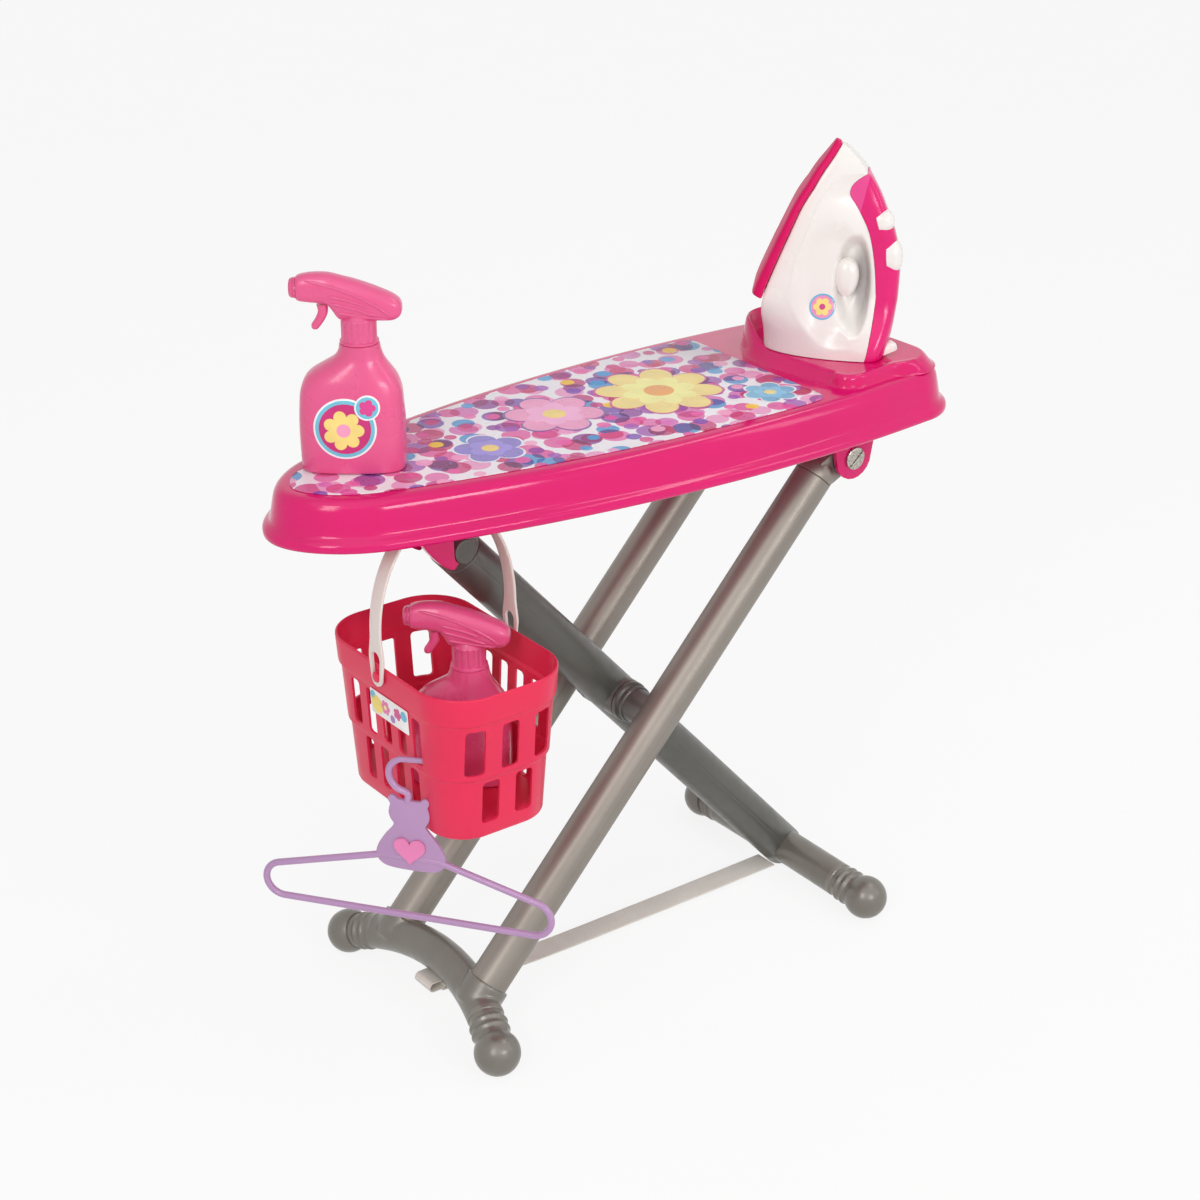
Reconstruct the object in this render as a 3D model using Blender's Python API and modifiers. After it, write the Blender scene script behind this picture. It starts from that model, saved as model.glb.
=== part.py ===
"""Toy ironing board with its iron, spray bottles, basket and hanger.

Units are metres and +Z is up. The stand's plane of symmetry is y = 0, the board's nose
points to -X and its wide end, with the iron rest, to +X. The origin is on the floor,
midway between the two foot bars.
"""
import math

import bmesh
import bpy
from mathutils import Matrix, Vector

# Clearances
GAP = 0.0003
RUN = 0.0004

# Stand: foot bars, ball feet and legs
FOOT_X = 0.1925
BALL_R = 0.0186
BALL_FLAT = 0.0004
BALL_NECK = 0.0300
FOOT_HALF_A = 0.1103
FOOT_HALF_B = 0.1109
BAR_R = 0.0150
ARCH_A = 0.0320
ARCH_B = 0.0080
LEG_ANGLE_A = math.radians(47.5)
LEG_ANGLE_B = math.radians(48.2)
TUBE_R = 0.0160
TUBE_WALL = 0.0016
TUBE_Y = 0.0602
TUBE_TOP = 0.5200
SOCKET_WALL = 0.0016
SOCKET_DEPTH = 0.0160
POST_R = 0.0184
POST_WALL = 0.0026
POST_TAIL = 0.0120
HEAD_ALONG = 0.5200
HEAD_PIN_R = 0.0098
HEAD_PIN_HALF = 0.0270
HEAD_TOP = 0.0140
PLUG_DEPTH = 0.0220
AXLE_R = 0.0045
SLEEVE_R = 0.0140
BOSS_R = 0.0170
BOSS_PROUD = 0.0020
PIVOT_ALONG = 0.5498
PIVOT_DROP = 0.0109
KNUCKLE_R = 0.0135
KNUCKLE_HALF = 0.0130
PIN_R = 0.0040
SCREW_HEAD_R = 0.0093
SCREW_HEAD_T = 0.0024
SCREW_SLOT = 0.0016
EAR_T = 0.0040
EAR_R = 0.0180
EAR_TOP_HALF = 0.0300

# Strap between the feet
STRAP_W = 0.0175
STRAP_T = 0.0014
STRAP_LOW = 0.0085
STRAP_LOOP_L = 0.0085
STRAP_LOOP_H = 0.0045
STRAP_LOOP_TURN = math.radians(22)

# Board
BOARD_TOP = 0.4790
LIP_BOTTOM = 0.4416
NOSE_X = -0.3040
NOSE_LEN = 0.0750
NOSE_POWER = 2.7
END_X = 0.2880
END_R = 0.0450
WIDE_X = 0.1000
WIDE_HALF = 0.1105
SIDE_BOW = 0.400
LIP_H = 0.0085
LIP_OUT = 0.0055
WALL_DRAFT = 0.0035
SHOULDER_R = 0.0060
BOARD_WALL = 0.0030
SHEET_INSET = 0.0216
SHEET_END = 0.1480
SHEET_CORNER = 0.0120
SHEET_T = 0.0005

# Iron rest at the wide end
REST_H = 0.0100
REST_RAMP = 0.0060
REST_INSET = 0.0220
REST_FAR_Y = 0.0560
HORN_H = 0.0165
HORN_T = 0.0050
HORN_LIP = 0.0012
HORN_FALL_FROM = 0.0500
HORN_FALL_TO = 0.0060

# Iron, standing on its heel
IRON_X = 0.2050
IRON_Y = -0.0200
IRON_YAW = math.radians(-44.0)
IRON_HEIGHT = 0.1710
IRON_HALF = 0.0300
SOLE_T = 0.0085
HEEL_HALF = 0.0310
HEEL_RISE = 0.0500
SPINE_HALF = 0.0150
BUTTON_TRAVEL = 0.0018
DIAL_R = 0.0105

# Spray bottle
SPRAYER_X = -0.2232
SPRAYER_Y = 0.0126
SPRAYER_YAW = math.radians(-37.0)
BOTTLE_HALF_W = 0.0384
BOTTLE_HALF_D = 0.0220
BOTTLE_H = 0.0940
NECK_OFF = 0.0074
COLLAR_R = 0.0128
COLLAR_DROP = 0.0025
HEAD_LOW = 0.1106
HEAD_HALF = 0.0100
NOZZLE_R = 0.0054
NOZZLE_LEN = 0.0050
TRIGGER_HALF = 0.0042

# Basket on its bail
BASKET_X = -0.1840
BASKET_Y = -0.0400
RIM_Z = 0.3420
RIM_HALF_X = 0.0580
RIM_HALF_Y = 0.0905
RIM_CORNER = 0.0380
RIM_BAND = 0.0220
TIER_Z = 0.0700
BASKET_H = 0.1235
BASKET_TAPER = 0.89
BASKET_WALL = 0.0020
BASKET_SKIRT = 0.0110
TIER_STEP = 0.0020
SLOT_X_PITCH = 0.0295
SLOT_X_W = 0.0150
SLOT_Y_PITCH = 0.0208
SLOT_Y_W = 0.0110
PEG_R = 0.0040
PEG_LEN = 0.0045
PEG_DROP = 0.0080
BAIL_TOP = 0.4560
BAIL_W = 0.0125
BAIL_T = 0.0022
EYE_W = 0.0195
EYE_HOLE = 0.0115
EYE_TAIL = 0.0090
EYE_TOP = 0.0220
BAIL_STRAIGHT = 0.0310
HOOK_W = 0.0060
HOOK_T = 0.0040

# Second bottle, standing in the basket
BASKET_SPRAYER_X = -0.1755
BASKET_SPRAYER_Y = -0.0460
BASKET_SPRAYER_YAW = math.radians(-40.0)

# Clothes hanger, hooked through a slot of the basket
HANGER_YAW = math.radians(-53.5)
HANGER_ROD_R = 0.0021
HANGER_HALF = 0.1150
HANGER_DROP = 0.1200
HANGER_PLATE_T = 0.0036
BADGE_T = 0.0014

# Derived places
BALL_Z = BALL_R - BALL_FLAT
TAN_A = math.tan(LEG_ANGLE_A)
TAN_B = math.tan(LEG_ANGLE_B)
AXIS_A = Vector((math.cos(LEG_ANGLE_A), 0, math.sin(LEG_ANGLE_A)))
AXIS_B = Vector((-math.cos(LEG_ANGLE_B), 0, math.sin(LEG_ANGLE_B)))
FOOT_A = Vector((-FOOT_X, 0, BALL_Z))
FOOT_B = Vector((FOOT_X, 0, BALL_Z))
CROSS_X = FOOT_X * (TAN_B - TAN_A) / (TAN_A + TAN_B)
CROSS = Vector((CROSS_X, 0, BALL_Z + (CROSS_X + FOOT_X) * TAN_A))
PIVOT = FOOT_A + AXIS_A * PIVOT_ALONG + Vector((AXIS_A.z, 0, -AXIS_A.x)) * PIVOT_DROP
HEAD = FOOT_B + AXIS_B * HEAD_ALONG
CEILING = BOARD_TOP - BOARD_WALL
EAR_INNER = TUBE_Y + KNUCKLE_HALF + RUN
EAR_OUTER = EAR_INNER + EAR_T
BAIL_PIVOT = Vector((BASKET_X, BASKET_Y, BAIL_TOP - BAIL_T))
PEG_Z = RIM_Z - PEG_DROP
IRON_BASE = Vector((IRON_X, IRON_Y, BOARD_TOP + REST_H + GAP))

# Colours: base colour, roughness, metallic
PINK = ((0.80, 0.018, 0.20), 0.28, 0.0)
SILVER = ((0.42, 0.39, 0.35), 0.32, 0.75)
WARM_GREY = ((0.27, 0.25, 0.22), 0.38, 0.25)
DARK_GREY = ((0.17, 0.165, 0.145), 0.40, 0.25)
STEEL = ((0.50, 0.49, 0.47), 0.30, 0.90)
WEBBING = ((0.62, 0.58, 0.52), 0.85, 0.0)
PRINT = ((0.90, 0.80, 0.86), 0.35, 0.0)
WHITE = ((0.88, 0.87, 0.86), 0.30, 0.0)
CORAL = ((0.84, 0.075, 0.16), 0.32, 0.0)
ROSE = ((0.83, 0.12, 0.30), 0.30, 0.0)
PALE = ((0.86, 0.76, 0.74), 0.40, 0.0)
LILAC = ((0.48, 0.31, 0.62), 0.40, 0.0)

UP = Vector((0, 0, 1))
SIDE = Vector((0, 1, 0))
ALONG = Vector((1, 0, 0))


def clear_scene():
    for item in list(bpy.data.objects):
        bpy.data.objects.remove(item, do_unlink=True)


clear_scene()
PARTS = bpy.data.collections.new("toy_ironing_board")
CUTTERS = bpy.data.collections.new("cutters")
bpy.context.scene.collection.children.link(PARTS)
bpy.context.scene.collection.children.link(CUTTERS)
FRAMES = {}


def material(name, finish):
    colour, roughness, metallic = finish
    result = bpy.data.materials.new(name)
    result.use_nodes = True
    shader = result.node_tree.nodes["Principled BSDF"]
    shader.inputs["Base Color"].default_value = (*colour, 1.0)
    shader.inputs["Roughness"].default_value = roughness
    shader.inputs["Metallic"].default_value = metallic
    return result


def frame(name, matrix):
    """An empty that carries one body, with its origin on the body's joint axis."""
    empty = bpy.data.objects.new(name, None)
    empty.matrix_world = matrix
    PARTS.objects.link(empty)
    FRAMES[name] = (empty, matrix)


def at(point, yaw=0.0):
    return Matrix.Translation(point) @ Matrix.Rotation(yaw, 4, "Z")


def aim(point, direction):
    """A matrix at a point whose Z axis lies along a direction."""
    return Matrix.Translation(point) @ direction.to_track_quat("Z", "Y").to_matrix().to_4x4()


def add(name, data, finish, carrier, world=None):
    """Link one sub-part to its carrier, with its mesh given in the world matrix."""
    world = world or Matrix.Identity(4)
    item = bpy.data.objects.new(name, data)
    data.materials.append(material(name, finish))
    PARTS.objects.link(item)
    empty, matrix = FRAMES[carrier]
    item.parent = empty
    item.matrix_basis = matrix.inverted() @ world
    if isinstance(data, bpy.types.Mesh):
        data.shade_smooth()
        data.set_sharp_from_angle(angle=math.radians(35))
    return item


def tool(name, data, world=None):
    """A hidden object that only cuts or joins."""
    item = bpy.data.objects.new(name, data)
    CUTTERS.objects.link(item)
    item.matrix_world = world or Matrix.Identity(4)
    item.hide_render = True
    item.display_type = "WIRE"
    return item


def boolean(item, other, operation):
    step = item.modifiers.new(other.name, "BOOLEAN")
    step.operation = operation
    step.object = other
    step.solver = "EXACT"


def cut(item, other):
    boolean(item, other, "DIFFERENCE")


def join(item, other):
    boolean(item, other, "UNION")


def to_mesh(name, work):
    bmesh.ops.recalc_face_normals(work, faces=work.faces)
    mesh = bpy.data.meshes.new(name)
    work.to_mesh(mesh)
    work.free()
    return mesh


def box(name, size, centre=(0, 0, 0)):
    work = bmesh.new()
    bmesh.ops.create_cube(work, size=1.0, matrix=Matrix.Translation(centre) @ Matrix.Diagonal((*size, 1)))
    return to_mesh(name, work)


def rod(name, radius, length, sides=20):
    """A cylinder on Z, centred on its own middle."""
    work = bmesh.new()
    bmesh.ops.create_cone(work, cap_ends=True, segments=sides, radius1=radius, radius2=radius, depth=length)
    return to_mesh(name, work)


def ball(name, radii, rings=10, sides=16):
    """A sphere with its own radius along each axis."""
    work = bmesh.new()
    bmesh.ops.create_uvsphere(work, u_segments=sides, v_segments=rings, radius=1.0,
                              matrix=Matrix.Diagonal((*radii, 1)))
    return to_mesh(name, work)


def loft(name, rings):
    """A closed skin through rings of equal point count, capped at both ends."""
    work = bmesh.new()
    loops = [[work.verts.new(point) for point in ring] for ring in rings]
    count = len(loops[0])
    for low, high in zip(loops, loops[1:]):
        for i in range(count):
            j = (i + 1) % count
            work.faces.new((low[i], low[j], high[j], high[i]))
    work.faces.new(loops[0][::-1])
    work.faces.new(loops[-1])
    return to_mesh(name, work)


def turned(name, profile, sides=20):
    """A profile of (radius, height) points, top to bottom, and its Screw modifier settings."""
    mesh = bpy.data.meshes.new(name)
    edges = [(i, i + 1) for i in range(len(profile) - 1)]
    if profile[0][0] > 0:
        edges.append((len(profile) - 1, 0))
    mesh.from_pydata([(r, 0, h) for r, h in profile], edges, [])
    return mesh, sides


def add_turned(name, shape, finish, carrier, world):
    mesh, sides = shape
    item = add(name, mesh, finish, carrier, world)
    screw = item.modifiers.new("turn", "SCREW")
    screw.axis = "Z"
    screw.steps = sides
    screw.render_steps = sides
    screw.use_merge_vertices = True
    screw.merge_threshold = 0.00001
    screw.use_smooth_shade = True
    return item


def plate(name, outline, thickness):
    """A flat outline on XY, extruded evenly to both sides, as a welded mesh."""
    curve = bpy.data.curves.new(name, "CURVE")
    curve.dimensions = "2D"
    curve.fill_mode = "BOTH"
    curve.extrude = thickness / 2
    spline = curve.splines.new("POLY")
    spline.points.add(len(outline) - 1)
    spline.use_cyclic_u = True
    for target, (x, y) in zip(spline.points, outline):
        target.co = (x, y, 0, 1)
    return curve_mesh(name, curve)


def wire(name, points, radius, closed=False, resolution=2):
    """A round rod along a list of points, as a welded mesh."""
    curve = bpy.data.curves.new(name, "CURVE")
    curve.dimensions = "3D"
    curve.bevel_depth = radius
    curve.bevel_resolution = resolution
    curve.use_fill_caps = not closed
    spline = curve.splines.new("POLY")
    spline.points.add(len(points) - 1)
    spline.use_cyclic_u = closed
    for target, point in zip(spline.points, points):
        target.co = (*point, 1)
    return curve_mesh(name, curve)


def curve_mesh(name, curve):
    holder = bpy.data.objects.new(name, curve)
    CUTTERS.objects.link(holder)
    bpy.context.view_layer.update()
    evaluated = holder.evaluated_get(bpy.context.evaluated_depsgraph_get())
    mesh = bpy.data.meshes.new_from_object(evaluated)
    mesh.name = name
    mesh.materials.clear()
    bpy.data.objects.remove(holder, do_unlink=True)
    work = bmesh.new()
    work.from_mesh(mesh)
    bmesh.ops.remove_doubles(work, verts=work.verts, dist=0.00001)
    bmesh.ops.recalc_face_normals(work, faces=work.faces)
    work.to_mesh(mesh)
    work.free()
    return mesh


def upright(yaw, point):
    """A matrix that stands an XY outline up: its X along the yaw, its Y along +Z."""
    return at(point, yaw) @ Matrix.Rotation(math.radians(90), 4, "X")


def smooth_path(points, per_span=4, closed=False):
    """Points on a smooth curve through a few chosen points."""
    count = len(points)
    spans = count if closed else count - 1
    result = []
    for i in range(spans):
        if closed:
            p0, p1, p2, p3 = (Vector(points[(i + k - 1) % count]) for k in range(4))
        else:
            p0, p1, p2, p3 = (Vector(points[min(max(i + k - 1, 0), count - 1)]) for k in range(4))
        for k in range(per_span):
            t = k / per_span
            result.append(0.5 * (2 * p1 + (p2 - p0) * t + (2 * p0 - 5 * p1 + 4 * p2 - p3) * t * t
                                 + (3 * p1 - p0 - 3 * p2 + p3) * t ** 3))
    if not closed:
        result.append(Vector(points[-1]))
    return result


def arc(centre, radius, start, end, count):
    """Points on an arc in a plane, angles in degrees."""
    angles = [math.radians(start + (end - start) * i / (count - 1)) for i in range(count)]
    return [(centre[0] + radius * math.cos(a), centre[1] + radius * math.sin(a)) for a in angles]


def rounded_box(half_x, half_y, corner, per_corner=5):
    points = []
    for sx, sy, start in ((1, 1, 0), (-1, 1, 90), (-1, -1, 180), (1, -1, 270)):
        centre = (sx * (half_x - corner), sy * (half_y - corner))
        points += arc(centre, corner, start, start + 90, per_corner)
    return points


# Board outline
def lip_half_width(x):
    bowed = WIDE_HALF - SIDE_BOW * (x - WIDE_X) ** 2
    reach = min(max((x - NOSE_X) / NOSE_LEN, 0.0), 1.0)
    return bowed * math.sqrt(1 - (1 - reach) ** NOSE_POWER)


def lip_outline(nose_steps=9, side_steps=8, corner_steps=6):
    """The lip's outline in plan, nose first, near side then far side."""
    near = []
    for i in range(nose_steps):
        x = NOSE_X + NOSE_LEN * (1 - math.cos(math.pi / 2 * i / nose_steps))
        near.append((x, -lip_half_width(x)))
    side_start = NOSE_X + NOSE_LEN
    side_end = END_X - END_R
    for i in range(side_steps):
        x = side_start + (side_end - side_start) * i / side_steps
        near.append((x, -lip_half_width(x)))
    near += arc((side_end, -(lip_half_width(side_end) - END_R)), END_R, -90, 0, corner_steps)
    far = [(x, -y) for x, y in reversed(near[1:])]
    return near + far


def inset(outline, distance):
    """Move a closed outline inwards by a distance along its own normals."""
    count = len(outline)
    result = []
    for i in range(count):
        ahead = Vector(outline[(i + 1) % count])
        behind = Vector(outline[i - 1])
        along = (ahead - behind).normalized()
        result.append((outline[i][0] - along.y * distance, outline[i][1] + along.x * distance))
    return result


def level(outline, z):
    return [Vector((x, y, z)) for x, y in outline]


# Frames of the bodies
frame("board_frame", Matrix.Identity(4))
frame("leg_a_pivot", Matrix.Translation(PIVOT))
frame("leg_b_pivot", Matrix.Translation(CROSS))
frame("bail_pivot", Matrix.Translation(BAIL_PIVOT))
frame("basket_pivot", Matrix.Translation((BASKET_X, BASKET_Y, PEG_Z)))


def make_board():
    """The moulded board: lip, drafted wall, round shoulder and a hollow underside."""
    lip = lip_outline()
    wall_low = LIP_OUT
    wall_high = LIP_OUT + WALL_DRAFT
    shoulder_z = BOARD_TOP - SHOULDER_R
    rings = [
        level(inset(lip, LIP_OUT + BOARD_WALL), LIP_BOTTOM),
        level(inset(lip, LIP_H * 0.2), LIP_BOTTOM),
        level(lip, LIP_BOTTOM + LIP_H * 0.3),
        level(lip, LIP_BOTTOM + LIP_H * 0.7),
        level(inset(lip, wall_low), LIP_BOTTOM + LIP_H),
        level(inset(lip, wall_high), shoulder_z),
    ]
    for angle in (30, 60, 90):
        turn = math.radians(angle)
        rings.append(level(inset(lip, wall_high + SHOULDER_R * (1 - math.cos(turn))),
                           shoulder_z + SHOULDER_R * math.sin(turn)))
    board = add("board_shell", loft("board_shell", rings), PINK, "board_frame")
    hollow_rings = [
        level(inset(lip, LIP_OUT + BOARD_WALL), LIP_BOTTOM - BOARD_WALL),
        level(inset(lip, LIP_OUT + BOARD_WALL), LIP_BOTTOM + LIP_H),
        level(inset(lip, wall_high + BOARD_WALL), CEILING),
    ]
    cut(board, tool("board_hollow", loft("board_hollow", hollow_rings)))
    join(board, tool("rest_block", make_rest()))
    join(board, tool("rest_horn", make_horn()))


# Front edge of the iron rest seen from above, from behind the iron round to the near side
REST_EDGE = (
    (0.2150, 0.0610), (0.1900, 0.0600), (0.1735, 0.0500), (0.1620, 0.0290),
    (0.1587, 0.0090), (0.1604, -0.0180), (0.1650, -0.0520), (0.1705, -0.0870),
)


def rest_outline():
    base = [point for point in inset(lip_outline(), REST_INSET) if point[0] > REST_EDGE[-1][0] + REST_RAMP]
    near = [point for point in base if point[1] <= 0]
    far = [point for point in base if 0 < point[1] < REST_FAR_Y]
    return near + far + [(point.x, point.y) for point in smooth_path(REST_EDGE, 3)]


def make_rest():
    base = rest_outline()
    return loft("rest_block", [level(base, BOARD_TOP - BOARD_WALL / 2), level(base, BOARD_TOP + GAP),
                               level(inset(base, REST_RAMP), BOARD_TOP + REST_H)])


def make_horn():
    """The wall that wraps the iron's heel, tall behind it and falling to a low rim in front."""
    path = smooth_path(REST_EDGE[:6], 4)
    rings = []
    for i, point in enumerate(path):
        along = (path[min(i + 1, len(path) - 1)] - path[max(i - 1, 0)]).normalized()
        inward = Vector((-along.y, along.x, 0))
        foot = Vector((point.x, point.y, BOARD_TOP))
        fall = min(max((point.y - HORN_FALL_TO) / (HORN_FALL_FROM - HORN_FALL_TO), 0.0), 1.0)
        top = UP * (REST_H + HORN_LIP + (HORN_H - HORN_LIP) * (0.5 - 0.5 * math.cos(math.pi * fall)))
        rings.append([foot + inward * 0.0012 + UP * GAP * 2, foot + inward * (HORN_T * 1.2) + UP * REST_H / 2,
                      foot + inward * HORN_T + top, foot + inward * (HORN_T * 0.5) + top])
    return loft("rest_horn", rings)


def make_sheet():
    base = inset(lip_outline(), SHEET_INSET)
    body = [point for point in base if point[0] < SHEET_END - SHEET_CORNER]
    near = [point for point in body if point[1] <= 0]
    far = [point for point in body if point[1] > 0]
    half = lip_half_width(SHEET_END) - SHEET_INSET
    corner_x = SHEET_END - SHEET_CORNER
    corners = arc((corner_x, SHEET_CORNER - half), SHEET_CORNER, -90, 0, 5)
    corners += arc((corner_x, half - SHEET_CORNER), SHEET_CORNER, 0, 90, 5)
    outline = near + corners + far
    low = BOARD_TOP + GAP
    add("cover_sheet", loft("cover_sheet", [level(outline, low), level(outline, low + SHEET_T)]),
        PRINT, "board_frame")


def make_brackets():
    """Ears that carry leg A on two slotted pins, the claw for leg B and the basket hook."""
    top = CEILING - GAP
    rise = top - PIVOT.z
    bowl = arc((0, 0), EAR_R, 200, 340, 9)
    ear = [(-EAR_TOP_HALF, rise)] + bowl + [(EAR_TOP_HALF, rise)]
    for side, word in ((-1, "near"), (1, "far")):
        middle = Vector((PIVOT.x, side * (EAR_INNER + EAR_T / 2), PIVOT.z))
        bracket = add("leg_bracket_" + word, plate("ear", ear, EAR_T), PINK, "board_frame",
                      upright(0, middle))
        flange_y = side * (EAR_INNER - KNUCKLE_HALF)
        flange = box("flange", (2 * EAR_TOP_HALF, 2 * KNUCKLE_HALF + GAP, EAR_T),
                     (PIVOT.x, flange_y, top - EAR_T / 2))
        join(bracket, tool("flange_" + word, flange))
        bore = tool("ear_bore_" + word, rod("bore", PIN_R + GAP, 4 * EAR_T), aim(middle, SIDE))
        cut(bracket, bore)
        outer = Vector((PIVOT.x, side * (EAR_OUTER + GAP), PIVOT.z))
        shank = EAR_T + GAP + RUN + 2 * KNUCKLE_HALF - 0.002
        profile = [(0, SCREW_HEAD_T), (SCREW_HEAD_R * 0.85, SCREW_HEAD_T),
                   (SCREW_HEAD_R, SCREW_HEAD_T * 0.7), (SCREW_HEAD_R, 0), (PIN_R, 0),
                   (PIN_R, -shank), (0, -shank)]
        screw = add_turned("pivot_screw_" + word, turned("pivot_screw_" + word, profile, 20), STEEL,
                           "board_frame", aim(outer, SIDE * side))
        slot = box("slot", (3 * SCREW_HEAD_R, SCREW_SLOT, SCREW_HEAD_T), (0, 0, SCREW_HEAD_T))
        turn = aim(outer, SIDE * side) @ Matrix.Rotation(math.radians(40), 4, "Z")
        cut(screw, tool("screw_slot_" + word, slot, turn))

    hold = HEAD_PIN_R + GAP * 2
    arm_t = HEAD_PIN_HALF - POST_R - 3 * GAP
    back = hold + EAR_T
    rise = top - HEAD.z
    claw = arc((0, 0), hold, 180, 265, 7) + arc((0, 0), back, 265, 195, 6)
    claw += [(-back - 2 * EAR_T, rise), (-hold + EAR_T, rise), (-hold, rise * 0.45)]
    arms = []
    for side in (-1, 1):
        middle = Vector((HEAD.x, side * (POST_R + 3 * GAP + arm_t / 2), HEAD.z))
        arms.append(upright(0, middle))
    latch = add("latch_claw", plate("claw", claw, arm_t), PINK, "board_frame", arms[0])
    join(latch, tool("claw_far", plate("claw_far", claw, arm_t), arms[1]))
    base_w = back + 3 * EAR_T - hold
    base = box("claw_base", (base_w, 2 * HEAD_PIN_HALF, EAR_T),
               (HEAD.x - back - 2 * EAR_T + base_w / 2, 0, top - EAR_T / 2))
    join(latch, tool("claw_base", base))

    seat = BAIL_TOP - BAIL_T - 2 * GAP
    inner = BASKET_Y + BAIL_W / 2 + 2 * GAP
    outer = BASKET_Y - BAIL_W / 2 - 2 * GAP
    hook = [(inner, top), (inner, seat), (outer, seat), (outer, seat + 2 * BAIL_T + GAP),
            (outer - HOOK_T / 2, seat + 2 * BAIL_T + GAP), (outer - HOOK_T / 2, seat - HOOK_T / 2),
            (outer, seat - HOOK_T), (inner, seat - HOOK_T), (inner + HOOK_T, seat),
            (inner + HOOK_T, top)]
    add("basket_hook", plate("basket_hook", hook, HOOK_W), PINK, "board_frame",
        upright(math.radians(90), Vector((BASKET_X, 0, 0))))


def on_leg_a(along, y=0.0):
    return FOOT_A + AXIS_A * along + SIDE * y


def on_leg_b(along, y=0.0):
    return FOOT_B + AXIS_B * along + SIDE * y


def bar_points(on_leg, half, arch, trim, steps=12):
    """A foot bar's middle line: an arch in its leg's own plane."""
    reach = half - trim
    ys = [-reach + 2 * reach * i / steps for i in range(steps + 1)]
    return [on_leg(arch * (1 - (y / half) ** 2), y) for y in ys]


def make_feet(letter, on_leg, half, arch, carrier):
    """A foot bar with a ringed ball foot at each end."""
    name = "foot_bar_" + letter
    line = bar_points(on_leg, half, arch, BALL_NECK)
    bar = add(name, wire(name, line, BAR_R, resolution=3), WARM_GREY, carrier)
    ring = BAR_R * 1.06
    dip = BAR_R * 0.94
    for side, word, end, inside in ((-1, "near", line[0], line[1]), (1, "far", line[-1], line[-2])):
        centre = on_leg(0, side * half)
        axis = (centre - end).normalized()
        low = -(centre - end).length
        profile = [(0, BALL_R)]
        for angle in (18, 36, 54, 72, 90, 108, 126):
            turn = math.radians(angle)
            profile.append((BALL_R * math.sin(turn), BALL_R * math.cos(turn)))
        profile += [(dip, low * 0.55), (ring, low * 0.61), (ring, low * 0.69), (dip, low * 0.75), (ring, low * 0.81),
                    (ring, low * 0.89), (BAR_R, low * 0.95), (BAR_R, low - BAR_R / 3), (0, low - BAR_R / 3)]
        ball_name = "foot_ball_" + letter + "_" + word
        foot = add_turned(ball_name, turned(ball_name, profile, 20), WARM_GREY, carrier, aim(centre, axis))
        depth = 4 * BALL_R
        floor = box("floor", (depth, depth, depth), (centre.x, centre.y, -depth / 2))
        cut(foot, tool("floor_" + letter + "_" + word, floor))
        limit = box("bar_end", (depth, depth, depth), (0, 0, depth / 2))
        inward = (inside - end).normalized()
        cut(foot, tool("end_" + letter + "_" + word, limit, aim(end - inward * GAP, inward)))
    return bar


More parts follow.
